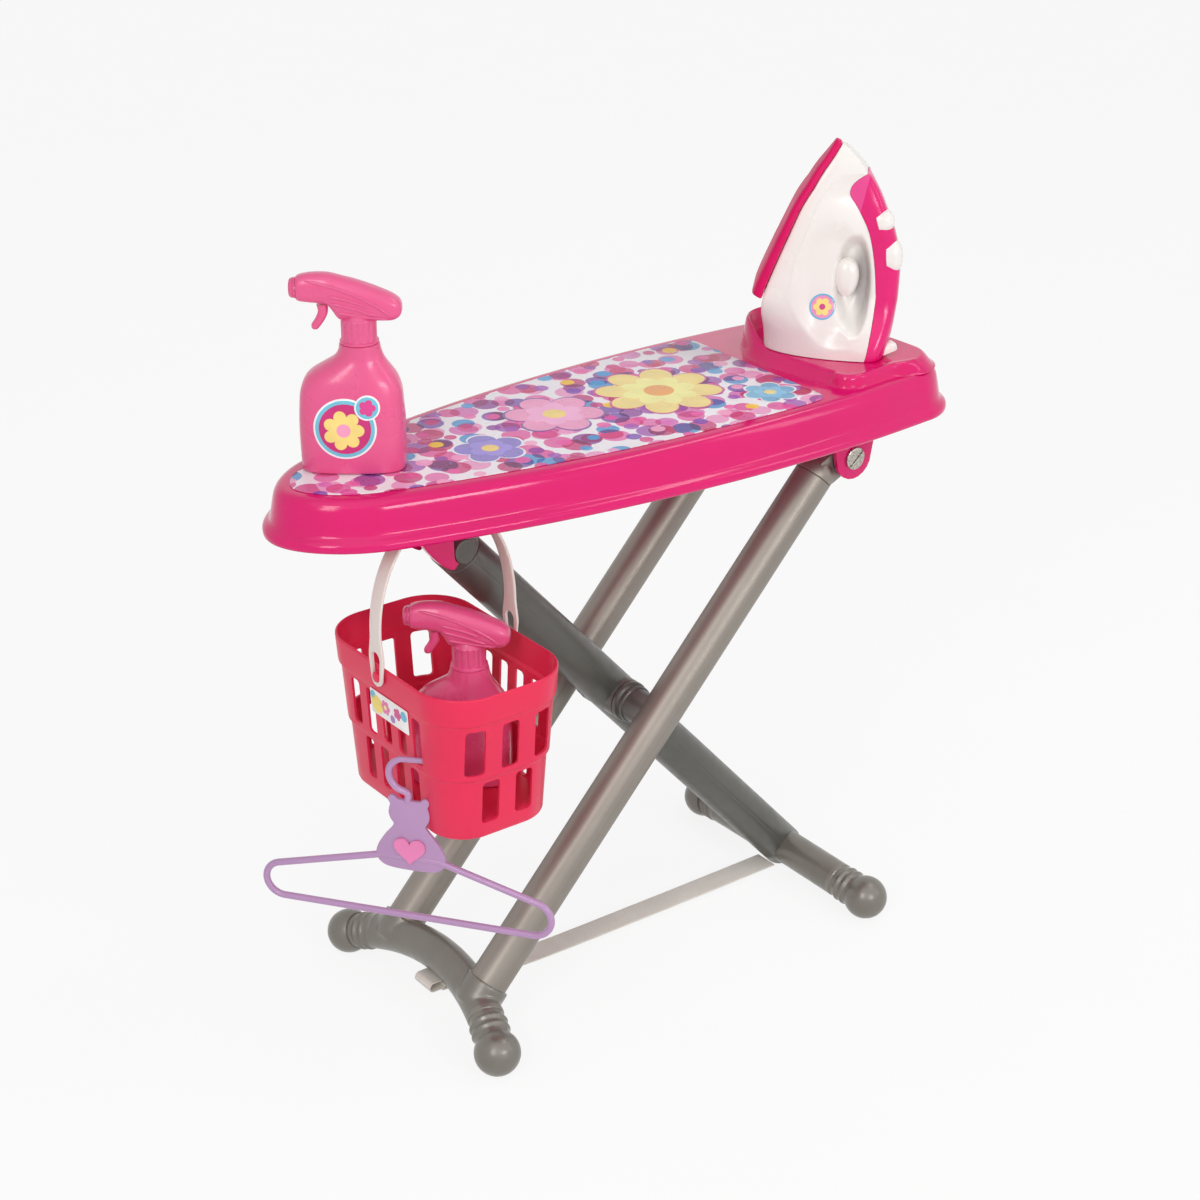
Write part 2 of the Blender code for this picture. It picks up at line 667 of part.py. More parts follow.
def make_leg_a():
    """Two tubes on an arched foot bar, with a knuckle on top of each and a cross axle."""
    bar = make_feet("a", on_leg_a, FOOT_HALF_A, ARCH_A, "leg_a_pivot")
    seat = ARCH_A * (1 - (TUBE_Y / FOOT_HALF_A) ** 2)
    socket_r = TUBE_R + GAP + SOCKET_WALL
    tube_low = seat + GAP
    for side, word in ((-1, "near"), (1, "far")):
        y = side * TUBE_Y
        low = seat - SOCKET_DEPTH / 2
        high = seat + SOCKET_DEPTH
        socket = rod("socket", socket_r, high - low, 24)
        join(bar, tool("socket_" + word, socket, aim(on_leg_a((low + high) / 2, y), AXIS_A)))
    for side, word in ((-1, "near"), (1, "far")):
        y = side * TUBE_Y
        bore = rod("tube_bore", TUBE_R + GAP, 4 * SOCKET_DEPTH, 24)
        cut(bar, tool("tube_bore_" + word, bore, aim(on_leg_a(seat + 2 * SOCKET_DEPTH, y), AXIS_A)))
        inner = TUBE_R - TUBE_WALL
        length = TUBE_TOP - tube_low
        profile = [(inner, length), (TUBE_R, length), (TUBE_R, 0), (inner, 0)]
        tube = add_turned("leg_tube_" + word, turned("leg_tube_" + word, profile, 24), SILVER, "leg_a_pivot",
                          aim(on_leg_a(tube_low, y), AXIS_A))
        hole_y = y - side * TUBE_R
        hole = rod("axle_hole", AXLE_R + GAP, TUBE_R, 16)
        cut(tube, tool("axle_hole_" + word, hole, aim(Vector((CROSS.x, hole_y, CROSS.z)), SIDE)))

        spigot = inner - GAP
        plug = [(0, TUBE_R), (TUBE_R * 0.7, TUBE_R * 0.8), (TUBE_R, TUBE_R * 0.4), (TUBE_R, 0),
                (spigot, 0), (spigot, -PLUG_DEPTH), (0, -PLUG_DEPTH)]
        knuckle = add_turned("tube_knuckle_" + word, turned("tube_knuckle_" + word, plug, 24), DARK_GREY,
                             "leg_a_pivot", aim(on_leg_a(TUBE_TOP + GAP, y), AXIS_A))
        eye = rod("knuckle_eye", KNUCKLE_R, 2 * KNUCKLE_HALF, 24)
        centre = Vector((PIVOT.x, y, PIVOT.z))
        join(knuckle, tool("knuckle_eye_" + word, eye, aim(centre, SIDE)))
        root = on_leg_a(TUBE_TOP + TUBE_R * 0.3, y)
        reach = centre - root
        web = box("knuckle_web", (KNUCKLE_R * 1.6, 2 * KNUCKLE_HALF * 0.9, reach.length))
        join(knuckle, tool("knuckle_web_" + word, web, aim(root + reach / 2, reach)))
        cut(knuckle, tool("pin_bore_" + word, rod("pin_bore", PIN_R + RUN, 6 * KNUCKLE_HALF, 20),
                          aim(centre, SIDE)))

        saddle_end = TUBE_Y - TUBE_R * 0.55
        boss_end = POST_R + BOSS_PROUD + RUN
        sleeve_profile = [(AXLE_R + GAP, saddle_end - boss_end), (SLEEVE_R, saddle_end - boss_end),
                          (SLEEVE_R, 0), (AXLE_R + GAP, 0)]
        start = Vector((CROSS.x, side * boss_end, CROSS.z))
        sleeve = add_turned("cross_sleeve_" + word, turned("cross_sleeve_" + word, sleeve_profile, 20),
                            DARK_GREY, "leg_a_pivot", aim(start, SIDE * side))
        saddle = rod("saddle", TUBE_R + GAP, 6 * TUBE_R, 24)
        along = (CROSS - FOOT_A).length
        cut(sleeve, tool("saddle_" + word, saddle, aim(on_leg_a(along, y), AXIS_A)))
    axle_half = TUBE_Y - TUBE_R * 0.4
    add("cross_axle", rod("cross_axle", AXLE_R, 2 * axle_half, 16), STEEL, "leg_a_pivot", aim(CROSS, SIDE))


def make_leg_b():
    """One thick post on a foot bar, with a pinned head that the claw holds."""
    make_feet("b", on_leg_b, FOOT_HALF_B, ARCH_B, "leg_b_pivot")
    inner = POST_R - POST_WALL
    low = ARCH_B - POST_TAIL
    high = HEAD_ALONG - HEAD_PIN_R - HEAD_TOP / 2
    length = high - low
    profile = [(0, length), (POST_R, length), (POST_R, 0.004), (POST_R - 0.003, 0), (0, 0)]
    post = add_turned("leg_post", turned("leg_post", profile, 28), DARK_GREY, "leg_b_pivot",
                      aim(on_leg_b(low), AXIS_B))
    for side, word in ((-1, "near"), (1, "far")):
        boss = rod("post_boss", BOSS_R, POST_R * 0.6 + BOSS_PROUD, 24)
        middle = side * (POST_R + BOSS_PROUD - (POST_R * 0.6 + BOSS_PROUD) / 2)
        join(post, tool("post_boss_" + word, boss, aim(Vector((CROSS.x, middle, CROSS.z)), SIDE)))
    bore = rod("post_bore", inner, length, 28)
    cut(post, tool("post_bore", bore, aim(on_leg_b((low + high) / 2 + 2 * POST_R), AXIS_B)))
    cut(post, tool("post_axle_bore", rod("post_axle_bore", AXLE_R + RUN, 6 * POST_R, 16), aim(CROSS, SIDE)))
    trimmed = bar_points(on_leg_b, FOOT_HALF_B, ARCH_B, BALL_NECK)
    cut(post, tool("post_foot_bore", wire("post_foot_bore", trimmed, BAR_R + GAP, resolution=3)))

    spigot = inner - GAP
    head_low = high + GAP
    top = HEAD_ALONG + HEAD_TOP - head_low
    plug = [(0, top), (POST_R * 0.75, top), (POST_R, top - POST_R * 0.25), (POST_R, 0), (spigot, 0),
            (spigot, -PLUG_DEPTH), (0, -PLUG_DEPTH)]
    head = add_turned("leg_head", turned("leg_head", plug, 28), DARK_GREY, "leg_b_pivot",
                      aim(on_leg_b(head_low), AXIS_B))
    join(head, tool("head_pin", rod("head_pin", HEAD_PIN_R, 2 * HEAD_PIN_HALF, 20), aim(HEAD, SIDE)))


def make_strap():
    """A webbing strap that keeps the feet from spreading, with its folded end under foot bar A."""
    bar_a = on_leg_a(ARCH_A)
    reach = BAR_R + 2 * GAP + STRAP_LOOP_H
    rear = bar_a + Vector((-math.sin(STRAP_LOOP_TURN), 0, -math.cos(STRAP_LOOP_TURN))) * reach
    centre = rear - ALONG * (STRAP_LOOP_L - STRAP_LOOP_H)
    outline = rounded_box(STRAP_LOOP_L, STRAP_LOOP_H, STRAP_LOOP_H * 0.98, 5)
    hole = rounded_box(STRAP_LOOP_L - STRAP_T, STRAP_LOOP_H - STRAP_T, (STRAP_LOOP_H - STRAP_T) * 0.98, 5)
    loop = add("strap_loop", plate("strap_loop", outline, STRAP_W), WEBBING, "leg_a_pivot", upright(0, centre))
    cut(loop, tool("strap_loop_hole", plate("strap_loop_hole", hole, 2 * STRAP_W), upright(0, centre)))
    start = centre + Vector((STRAP_LOOP_L / 2, 0, -STRAP_LOOP_H - STRAP_T / 2 - GAP))
    under = Vector((-AXIS_B.z, 0, AXIS_B.x))
    end = on_leg_b(ARCH_B - POST_TAIL + POST_R / 2) + under * (POST_R + STRAP_T)
    mid_a = Vector((start.x * 0.50, 0, STRAP_LOW + STRAP_T))
    mid_b = Vector((end.x * 0.30, 0, STRAP_LOW))
    path = smooth_path([start, mid_a, mid_b, end], per_span=5)
    rings = []
    for i, point in enumerate(path):
        ahead = path[min(i + 1, len(path) - 1)]
        behind = path[max(i - 1, 0)]
        normal = (ahead - behind).normalized().cross(SIDE).normalized() * (STRAP_T / 2)
        edge = SIDE * (STRAP_W / 2)
        rings.append([point - edge - normal, point + edge - normal, point + edge + normal, point - edge + normal])
    add("foot_strap", loft("foot_strap", rings), WEBBING, "leg_a_pivot")


# Iron: side profile, each row is height then sole, white edge, seam and back, in metres
IRON_ROWS = (
    (0.000, -0.0515, 0.0310, 0.0470),
    (0.020, -0.0515, 0.0346, 0.0515),
    (0.038, -0.0530, 0.0368, 0.0540),
    (0.052, -0.0510, 0.0374, 0.0552),
    (0.078, -0.0414, 0.0350, 0.0555),
    (0.101, -0.0320, 0.0300, 0.0500),
    (0.120, -0.0240, 0.0205, 0.0425),
    (0.137, -0.0142, 0.0140, 0.0345),
    (0.149, -0.0075, 0.0200, 0.0275),
)


def iron_rows(per_span=3):
    """The rows above, with more rows on a smooth curve between them."""
    sole_side = smooth_path([(row[1], row[0]) for row in IRON_ROWS], per_span)
    seam_side = smooth_path([(row[2], row[0]) for row in IRON_ROWS], per_span)
    back_side = smooth_path([(row[3], row[0]) for row in IRON_ROWS], per_span)
    return [(a.y, a.x, b.x, c.x) for a, b, c in zip(sole_side, seam_side, back_side)]


def iron_egg(z):
    """One at the egg-shaped heel, nought where the sole plate begins."""
    share = min(z / HEEL_RISE, 1.0)
    return 1 - share * share * (3 - 2 * share)


def iron_section(left, right, z, half, narrow, count=8):
    """One level of the iron's body: an egg at the heel, full at the sole and slimmer at the handle above."""
    egg = iron_egg(z)
    near = []
    for i in range(count + 1):
        share = i / count
        x = left + (right - left) * share
        swell = math.sqrt(max(0.0, 1 - (1 - min(share * 3.2, 1.0)) ** 2))
        plate_width = half * (0.90 + 0.10 * swell) * (1 - share) + narrow * share
        egg_width = HEEL_HALF * (0.04 + 0.96 * (1 - (1 - share) ** 2) ** 0.62)
        near.append((x, -(egg * egg_width + (1 - egg) * plate_width)))
    far = [(x, -y) for x, y in reversed(near)]
    return [Vector((x, y, z)) for x, y in near + far]


def make_iron():
    """The iron in its own frame: X from sole to handle, Y across, Z up its length."""
    frame("iron_frame", at(IRON_BASE, IRON_YAW))
    here = at(IRON_BASE, IRON_YAW)
    rows = iron_rows()
    rings = []
    for z, white, seam, back in rows:
        share = z / IRON_HEIGHT
        half = IRON_HALF * math.sqrt(max(0.05, 1 - share ** 2.2))
        rings.append(iron_section(white, seam - GAP, z, half, min(SPINE_HALF, half * 0.8)))
    rings.append(iron_section(0.0030, 0.0150, 0.162, IRON_HALF * 0.30, IRON_HALF * 0.22))
    rings.append(iron_section(0.0058, 0.0085, IRON_HEIGHT - 0.003, IRON_HALF * 0.12, IRON_HALF * 0.10))
    body = add("iron_body", loft("iron_body", rings), WHITE, "iron_frame", here)
    recess_z = 0.060
    for side, word in ((-1, "near"), (1, "far")):
        hollow = ball("iron_recess", (0.0270, 0.0140, 0.0480), 12, 20)
        place = here @ Matrix.Translation((0.004, side * (SPINE_HALF + 0.0095), recess_z))
        cut(body, tool("iron_recess_" + word, hollow, place))

    sole_rows = [row for row in rows if row[0] > 0.048]
    inner = [(row[1] - GAP, row[0]) for row in sole_rows] + [(0.0040, 0.1665)]
    rings = []
    for x, z in inner:
        share = (z - 0.045) / (IRON_HEIGHT - 0.045)
        half = IRON_HALF * 1.06 * math.sqrt(max(0.02, 1 - share ** 2))
        thick = SOLE_T * (1 - 0.35 * share)
        rings.append([Vector((x, -half, z)), Vector((x, half, z)), Vector((x - thick * 0.6, half, z + thick * 0.12)),
                      Vector((x - thick, half * 0.8, z + thick * 0.2)), Vector((x - thick, -half * 0.8, z + thick * 0.2)),
                      Vector((x - thick * 0.6, -half, z + thick * 0.12))])
    add("iron_sole", loft("iron_sole", rings), PINK, "iron_frame", here)

    rings = []
    for z, white, seam, back in rows:
        egg = iron_egg(z)
        half = egg * HEEL_HALF + (1 - egg) * SPINE_HALF * (1 - 0.35 * (z / IRON_HEIGHT) ** 2)
        mid = (seam + back) / 2
        rings.append([Vector((seam, -half, z)), Vector((mid, -half * (1.02 - 0.2 * egg), z)), Vector((back - 0.002, -half * (0.7 - 0.3 * egg), z)),
                      Vector((back, -half * 0.2, z)), Vector((back, half * 0.2, z)), Vector((back - 0.002, half * (0.7 - 0.3 * egg), z)),
                      Vector((mid, half * (1.02 - 0.2 * egg), z)), Vector((seam, half, z))])
    spine = add("iron_spine", loft("iron_spine", rings), PINK, "iron_frame", here)

    buttons = (("iron_button_spray", 0.109, 0.0430, 0.0055, 0.0085), ("iron_button_steam", 0.081, 0.0510, 0.0065, 0.0130))
    for name, z, x, half_w, half_h in buttons:
        lean = math.radians(16 if z > 0.1 else 4)
        press = here @ Matrix.Translation((x, 0, z)) @ Matrix.Rotation(math.radians(90) - lean, 4, "Y")
        frame(name + "_frame", press)
        shape = ball(name, (half_h, half_w, 0.0085), 10, 14)
        add(name, shape, WHITE, name + "_frame", press)
        well = ball(name + "_well", (half_h + RUN, half_w + RUN, 0.0085 + RUN), 10, 14)
        cut(spine, tool(name + "_well", well, press))
        travel = ball(name + "_low", (half_h + RUN, half_w + RUN, 0.0085 + RUN), 10, 14)
        deep = press @ Matrix.Translation((0, 0, -BUTTON_TRAVEL - RUN))
        cut(spine, tool(name + "_low", travel, deep))

    dial_z = 0.063
    dial_x = 0.0130
    floor_y = -(SPINE_HALF - 0.0045)
    turn = here @ Matrix.Translation((dial_x, floor_y - 0.0002, dial_z)) @ Matrix.Rotation(math.radians(90), 4, "X")
    frame("iron_dial_frame", turn)
    shape = [(0, 0.0060), (DIAL_R * 0.55, 0.0052), (DIAL_R * 0.9, 0.0030), (DIAL_R, 0.0), (0, 0.0)]
    add_turned("iron_dial", turned("iron_dial", shape, 20), WHITE, "iron_dial_frame", turn)
    seat = rod("dial_seat", DIAL_R + RUN, 0.02, 20)
    cut(body, tool("dial_seat", seat, turn @ Matrix.Translation((0, 0, 0.01 - GAP))))

    guard = ball("iron_cord_guard", (0.0085, 0.0060, 0.0050), 8, 14)
    place = here @ Matrix.Translation((IRON_ROWS[0][3] + 0.0040, 0, 0.0085)) @ Matrix.Rotation(math.radians(-22), 4, "Y")
    stub = add("iron_cord_guard", guard, WHITE, "iron_frame", place)
    mould = loft("guard_mould", [[point + (point - Vector((0.03, 0, point.z))) * 0.012 for point in ring] for ring in rings])
    cut(stub, tool("guard_mould", mould, here))


BOTTLE_ROWS = (
    (0.0000, 0.000, 0.93, 0.88),
    (0.0030, 0.000, 0.99, 0.96),
    (0.0320, 0.000, 1.00, 1.00),
    (0.0500, 0.000, 0.95, 0.96),
    (0.0646, 0.08, 0.87, 0.90),
    (0.0745, 0.34, 0.69, 0.80),
    (0.0820, 0.74, 0.50, 0.70),
    (0.0880, 1.00, 0.375, 0.65),
)

HEAD_OUTLINE = (
    (-0.0355, 0.1262), (-0.0210, 0.1250), (-0.0160, 0.1200), (-0.0110, 0.1150), (-0.0040, HEAD_LOW),
    (0.0280, HEAD_LOW), (0.0355, 0.1150), (0.0380, 0.1220), (0.0350, 0.1280), (0.0220, 0.1350),
    (0.0060, 0.1415), (-0.0100, 0.1450), (-0.0260, 0.1452), (-0.0355, 0.1420),
)


def make_sprayer(prefix, base, yaw):
    """A spray bottle: bottle, collar, head, nozzle and trigger, nozzle towards its own -X."""
    here = at(base, yaw)
    body = prefix + "_frame"
    frame(body, here)
    rings = []
    for z, shift, wide, deep in BOTTLE_ROWS:
        half_w = BOTTLE_HALF_W * wide
        half_d = BOTTLE_HALF_D * deep
        outline = rounded_box(half_w, half_d, min(half_w, half_d) * 0.75, 4)
        rings.append([Vector((x + NECK_OFF * shift, y, z)) for x, y in outline])
    neck_r = COLLAR_R * 0.78
    for z in (BOTTLE_H - COLLAR_DROP, HEAD_LOW - 2 * COLLAR_DROP):
        outline = rounded_box(neck_r, neck_r, neck_r * 0.99, 4)
        rings.append([Vector((x + NECK_OFF, y, z)) for x, y in outline])
    add(prefix + "_bottle", loft("bottle", rings), ROSE, body, here)

    low = BOTTLE_H - COLLAR_DROP
    height = HEAD_LOW - GAP - low
    bore = neck_r + GAP
    flare = COLLAR_R * 1.10
    profile = [(bore, height), (COLLAR_R, height), (COLLAR_R, 0.003), (flare, 0.0015), (flare, 0), (bore, 0)]
    add_turned(prefix + "_collar", turned("collar", profile, 20), ROSE, body,
               here @ Matrix.Translation((NECK_OFF, 0, low)))

    head = add(prefix + "_head", plate("head", HEAD_OUTLINE, 2 * HEAD_HALF), ROSE, body,
               here @ Matrix.Rotation(math.radians(90), 4, "X"))
    bevel = head.modifiers.new("round", "BEVEL")
    bevel.width = HEAD_HALF * 0.45
    bevel.segments = 2
    bevel.limit_method = "ANGLE"
    bevel.angle_limit = math.radians(60)

    nozzle_z = (HEAD_OUTLINE[0][1] + HEAD_OUTLINE[-1][1]) / 2
    face = HEAD_OUTLINE[0][0] - GAP
    spin = here @ aim(Vector((face, 0, nozzle_z)), -ALONG)
    frame(prefix + "_nozzle_frame", spin)
    profile = [(0, NOZZLE_LEN), (NOZZLE_R * 0.9, NOZZLE_LEN), (NOZZLE_R, NOZZLE_LEN * 0.8), (NOZZLE_R, 0), (0, 0)]
    add_turned(prefix + "_nozzle", turned("nozzle", profile, 16), ROSE, prefix + "_nozzle_frame", spin)

    hinge = Vector((-0.0155, 0, 0.1215))
    swing = here @ Matrix.Translation(hinge)
    frame(prefix + "_trigger_frame", swing)
    line = smooth_path([(-0.0185, 0.1195), (-0.0205, 0.1130), (-0.0255, 0.1065)], per_span=3)
    front = [(p.x - 0.0022, p.y) for p in line]
    rear = [(p.x + 0.0018, p.y) for p in reversed(line)]
    crook = front + rear
    add(prefix + "_trigger", plate("trigger", crook, 2 * TRIGGER_HALF), ROSE, prefix + "_trigger_frame",
        here @ Matrix.Rotation(math.radians(90), 4, "X"))


def basket_half(depth):
    """How far the basket has drawn in at a depth below its rim."""
    return 1 - (1 - BASKET_TAPER) * depth / BASKET_H


def basket_ring(depth, inward):
    scale = basket_half(depth)
    outline = rounded_box(RIM_HALF_X * scale - inward, RIM_HALF_Y * scale - inward,
                          RIM_CORNER * scale - inward, 6)
    return [Vector((BASKET_X + x, BASKET_Y + y, RIM_Z - depth)) for x, y in outline]


def make_basket():
    """The slotted two-tier basket with a peg for the bail on each end."""
    outer = [(BASKET_H, TIER_STEP * 3), (BASKET_H - BASKET_WALL, TIER_STEP * 2), (TIER_Z + TIER_STEP, TIER_STEP * 2),
             (TIER_Z, TIER_STEP), (RIM_BAND + TIER_STEP, TIER_STEP), (RIM_BAND, 0), (0, 0)]
    basket = add("basket_shell", loft("basket_shell", [basket_ring(*row) for row in outer]), CORAL, "basket_pivot")
    floor = BASKET_H - BASKET_SKIRT
    inner = [(floor - BASKET_WALL, TIER_STEP * 3 + BASKET_WALL), (floor - 2 * BASKET_WALL, TIER_STEP * 2 + BASKET_WALL),
             (TIER_Z + TIER_STEP, TIER_STEP * 2 + BASKET_WALL), (TIER_Z, TIER_STEP + BASKET_WALL),
             (RIM_BAND + TIER_STEP, TIER_STEP + BASKET_WALL), (RIM_BAND, BASKET_WALL), (-BASKET_WALL, BASKET_WALL)]
    cut(basket, tool("basket_hollow", loft("basket_hollow", [basket_ring(*row) for row in inner])))

    below = [(BASKET_H + BASKET_WALL, TIER_STEP * 3 + BASKET_WALL), (floor, TIER_STEP * 3 + BASKET_WALL)]
    cut(basket, tool("basket_skirt", loft("basket_skirt", [basket_ring(*row) for row in below])))

    upper = (RIM_BAND + 0.006, TIER_Z - 0.004)
    lower = (TIER_Z + 0.006, floor - 2 * BASKET_WALL)
    far = 4 * RIM_HALF_Y
    for name, rows in (("x", ((upper, SLOT_X_PITCH, SLOT_X_W, 3), (lower, SLOT_X_PITCH, SLOT_X_W, 2))),
                       ("y", ((upper, SLOT_Y_PITCH, SLOT_Y_W, 5), (lower, SLOT_Y_PITCH, SLOT_Y_W, 4)))):
        work = bmesh.new()
        for (high, low), pitch, width, count in rows:
            z = RIM_Z - (high + low) / 2
            for i in range(count):
                off = (i - (count - 1) / 2) * pitch
                if name == "x":
                    size = (width, far, low - high)
                    centre = (BASKET_X + off, BASKET_Y, z)
                else:
                    size = (far, width, low - high)
                    centre = (BASKET_X, BASKET_Y + off, z)
                bmesh.ops.create_cube(work, size=1.0, matrix=Matrix.Translation(centre) @ Matrix.Diagonal((*size, 1)))
        cut(basket, tool("basket_slots_" + name, to_mesh("slots", work)))
    for side, word in ((-1, "nose"), (1, "leg")):
        length = PEG_LEN + BASKET_WALL
        middle = BASKET_X + side * (RIM_HALF_X * basket_half(PEG_DROP) - BASKET_WALL / 2 + PEG_LEN / 2)
        peg = rod("bail_peg", PEG_R, length, 14)
        join(basket, tool("bail_peg_" + word, peg, aim(Vector((middle, BASKET_Y, PEG_Z)), ALONG)))


def make_bail():
    """The flat strap handle: an arch over the basket with a long eye at each end."""
    half = RIM_HALF_X + BAIL_T / 2 + 2 * GAP
    height = BAIL_TOP - BAIL_T / 2 - PEG_Z - BAIL_STRAIGHT
    rises = (-EYE_TAIL, -EYE_TAIL * 0.8, -EYE_TAIL * 0.4, 0, EYE_TOP, BAIL_STRAIGHT * 0.9)
    widths = (0.45, 0.74, 0.95, 1.0, 1.0, BAIL_W / EYE_W)
    leg = [(Vector((BASKET_X + half, BASKET_Y, PEG_Z + rise)), wide * EYE_W) for rise, wide in zip(rises, widths)]
    other = [(Vector((BASKET_X - half, BASKET_Y, point.z)), wide) for point, wide in reversed(leg)]
    steps = 26
    arch = []
    for i in range(1, steps):
        angle = math.pi * i / steps
        top = Vector((BASKET_X + half * math.cos(angle), BASKET_Y,
                      PEG_Z + BAIL_STRAIGHT + height * math.sqrt(math.sin(angle))))
        arch.append((top, BAIL_W))
    line = leg + arch + other
    rings = []
    for i, (point, wide) in enumerate(line):
        ahead = line[min(i + 1, len(line) - 1)][0]
        behind = line[max(i - 1, 0)][0]
        normal = (ahead - behind).normalized().cross(SIDE).normalized() * (BAIL_T / 2)
        edge = SIDE * (wide / 2)
        rings.append([point - edge - normal, point + edge - normal, point + edge + normal, point - edge + normal])
    bail = add("basket_bail", loft("basket_bail", rings), PALE, "bail_pivot")
    low = -PEG_R - RUN
    tall = (EYE_TOP - low) / 2
    slot = rounded_box(EYE_HOLE / 2, tall, EYE_HOLE / 2 * 0.98, 5)
    eye = plate("bail_eye", slot, 4 * RIM_HALF_X)
    place = Vector((BASKET_X, BASKET_Y, PEG_Z + low + tall))
    cut(bail, tool("bail_eye", eye, upright(math.radians(90), place)))


def make_hanger():
    """The clothes hanger: a bent rod with a plate and a badge, hooked through a basket slot."""
    band_top = RIM_Z - (TIER_Z - 0.004)
    wall_scale = basket_half(TIER_Z - 0.006)
    wall_x = BASKET_X - (RIM_HALF_X * wall_scale - TIER_STEP)
    slot_y = BASKET_Y - 2 * SLOT_Y_PITCH
    reach = 0.0136
    along = Vector((math.cos(HANGER_YAW), math.sin(HANGER_YAW), 0))
    out = 0.0112
    centre = Vector((wall_x + BASKET_WALL / 2, slot_y, band_top + HANGER_ROD_R + GAP - reach)) - along * out
    stand = upright(HANGER_YAW, centre)
    frame("hanger_frame", Matrix.Translation(centre + UP * (reach - HANGER_ROD_R) + along * out))

    hook = [(0.0000, -0.0225), (0.0006, -0.0150), (-0.0080, -0.0110), (-0.0132, -0.0030), (-0.0125, 0.0060),
            (-0.0060, 0.0125), (0.0030, 0.0138), (0.0150, 0.0142), (0.0240, 0.0118), (0.0275, 0.0050)]
    hook_path = [Vector((x, y, 0)) for x, y in ((p.x, p.y) for p in smooth_path(hook, per_span=2))]
    bottom = -HANGER_DROP - 0.0010
    shoulder = -0.0700
    end_top = bottom + 0.0290
    middle = -0.0035
    plate_x = 0.0015
    left = middle - HANGER_HALF
    right = middle + HANGER_HALF
    lift = (end_top - bottom) / 2
    far_end = arc((left + lift, bottom + lift), lift, 100, 270, 7)
    near_end = arc((right - lift, bottom + lift), lift, -90, 80, 7)
    loop = [(plate_x - 0.022, shoulder)] + far_end + near_end + [(plate_x + 0.022, shoulder)]
    rod_path = [Vector((x, y, 0)) for x, y in loop]
    frame_rod = add("hanger_frame_rod", wire("hanger_rod", rod_path, HANGER_ROD_R, closed=True), LILAC,
                    "hanger_frame", stand)
    upper = [(0.0105, -0.0225), (0.0115, -0.0290), (0.0105, -0.0360), (0.0090, -0.0400)]
    lower = [(0.0150, -0.0470), (0.0240, -0.0600), (0.0270, -0.0680), (0.0255, -0.0750), (0.0190, -0.0785)]
    right_edge = [(plate_x + x, y) for x, y in upper + lower]
    left_edge = [(2 * plate_x - x, y) for x, y in reversed(right_edge)]
    crown = [(plate_x - 0.0060, -0.0195), (plate_x + 0.0060, -0.0195)]
    body = plate("hanger_plate", right_edge + left_edge + crown, HANGER_PLATE_T)
    join(frame_rod, tool("hanger_plate", body, stand))
    join(frame_rod, tool("hanger_hook", wire("hanger_hook", hook_path, HANGER_ROD_R), stand))

    heart = []
    for i in range(24):
        t = 2 * math.pi * i / 24
        heart.append((0.00078 * 16 * math.sin(t) ** 3,
                      0.00078 * (13 * math.cos(t) - 5 * math.cos(2 * t) - 2 * math.cos(3 * t) - math.cos(4 * t))))
    face = HANGER_PLATE_T / 2 + BADGE_T / 2 + GAP
    add("hanger_badge", plate("hanger_badge", heart, BADGE_T), ROSE, "hanger_frame",
        stand @ Matrix.Translation((plate_x, -0.0620, face)))


make_board()
make_sheet()
make_brackets()
make_leg_a()
make_leg_b()
make_strap()
make_iron()
make_sprayer("sprayer", Vector((SPRAYER_X, SPRAYER_Y, BOARD_TOP + SHEET_T + 2 * GAP)), SPRAYER_YAW)
make_basket()
make_bail()
make_sprayer("basket_sprayer",
             Vector((BASKET_SPRAYER_X, BASKET_SPRAYER_Y, RIM_Z - BASKET_H + BASKET_SKIRT + BASKET_WALL + GAP)),
             BASKET_SPRAYER_YAW)
make_hanger()
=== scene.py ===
"""Looks of the toy ironing board: finishes, fine moulded forms, light and camera.

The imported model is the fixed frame. Pieces here stand for its solids at a finer resolution and
ride on the same bodies. Units are metres, +Z is up, the board's nose points to -X.
"""
import math

import bmesh
import bpy
from mathutils import Matrix, Vector
from mathutils.bvhtree import BVHTree


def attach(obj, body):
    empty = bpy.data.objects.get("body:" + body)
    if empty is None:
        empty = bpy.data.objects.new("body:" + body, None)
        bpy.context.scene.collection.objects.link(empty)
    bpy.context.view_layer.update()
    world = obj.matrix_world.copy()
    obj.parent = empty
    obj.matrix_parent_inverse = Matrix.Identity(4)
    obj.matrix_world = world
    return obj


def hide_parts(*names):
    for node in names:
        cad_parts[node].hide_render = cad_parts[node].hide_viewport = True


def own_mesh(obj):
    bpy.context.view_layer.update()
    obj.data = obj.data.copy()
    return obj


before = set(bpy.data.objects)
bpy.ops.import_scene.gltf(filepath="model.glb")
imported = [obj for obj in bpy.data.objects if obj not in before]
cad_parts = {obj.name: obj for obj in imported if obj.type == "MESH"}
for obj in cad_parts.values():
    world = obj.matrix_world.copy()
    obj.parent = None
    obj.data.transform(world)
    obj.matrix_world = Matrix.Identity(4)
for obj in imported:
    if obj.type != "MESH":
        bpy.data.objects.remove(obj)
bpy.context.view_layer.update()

UP = Vector((0, 0, 1))
SIDE = Vector((0, 1, 0))
ALONG = Vector((1, 0, 0))
HANDS = ((-1, "near"), (1, "far"))

# Camera, fitted to the photograph
CAMERA_AT = (-1.08604, -1.45202, 1.15532)
CAMERA_AZIMUTH = math.radians(-36.795)
CAMERA_ELEVATION = math.radians(25.622)
CAMERA_LENS = 74.62
CAMERA_SHIFT = (-10.19 / 1200, 31.13 / 1200)

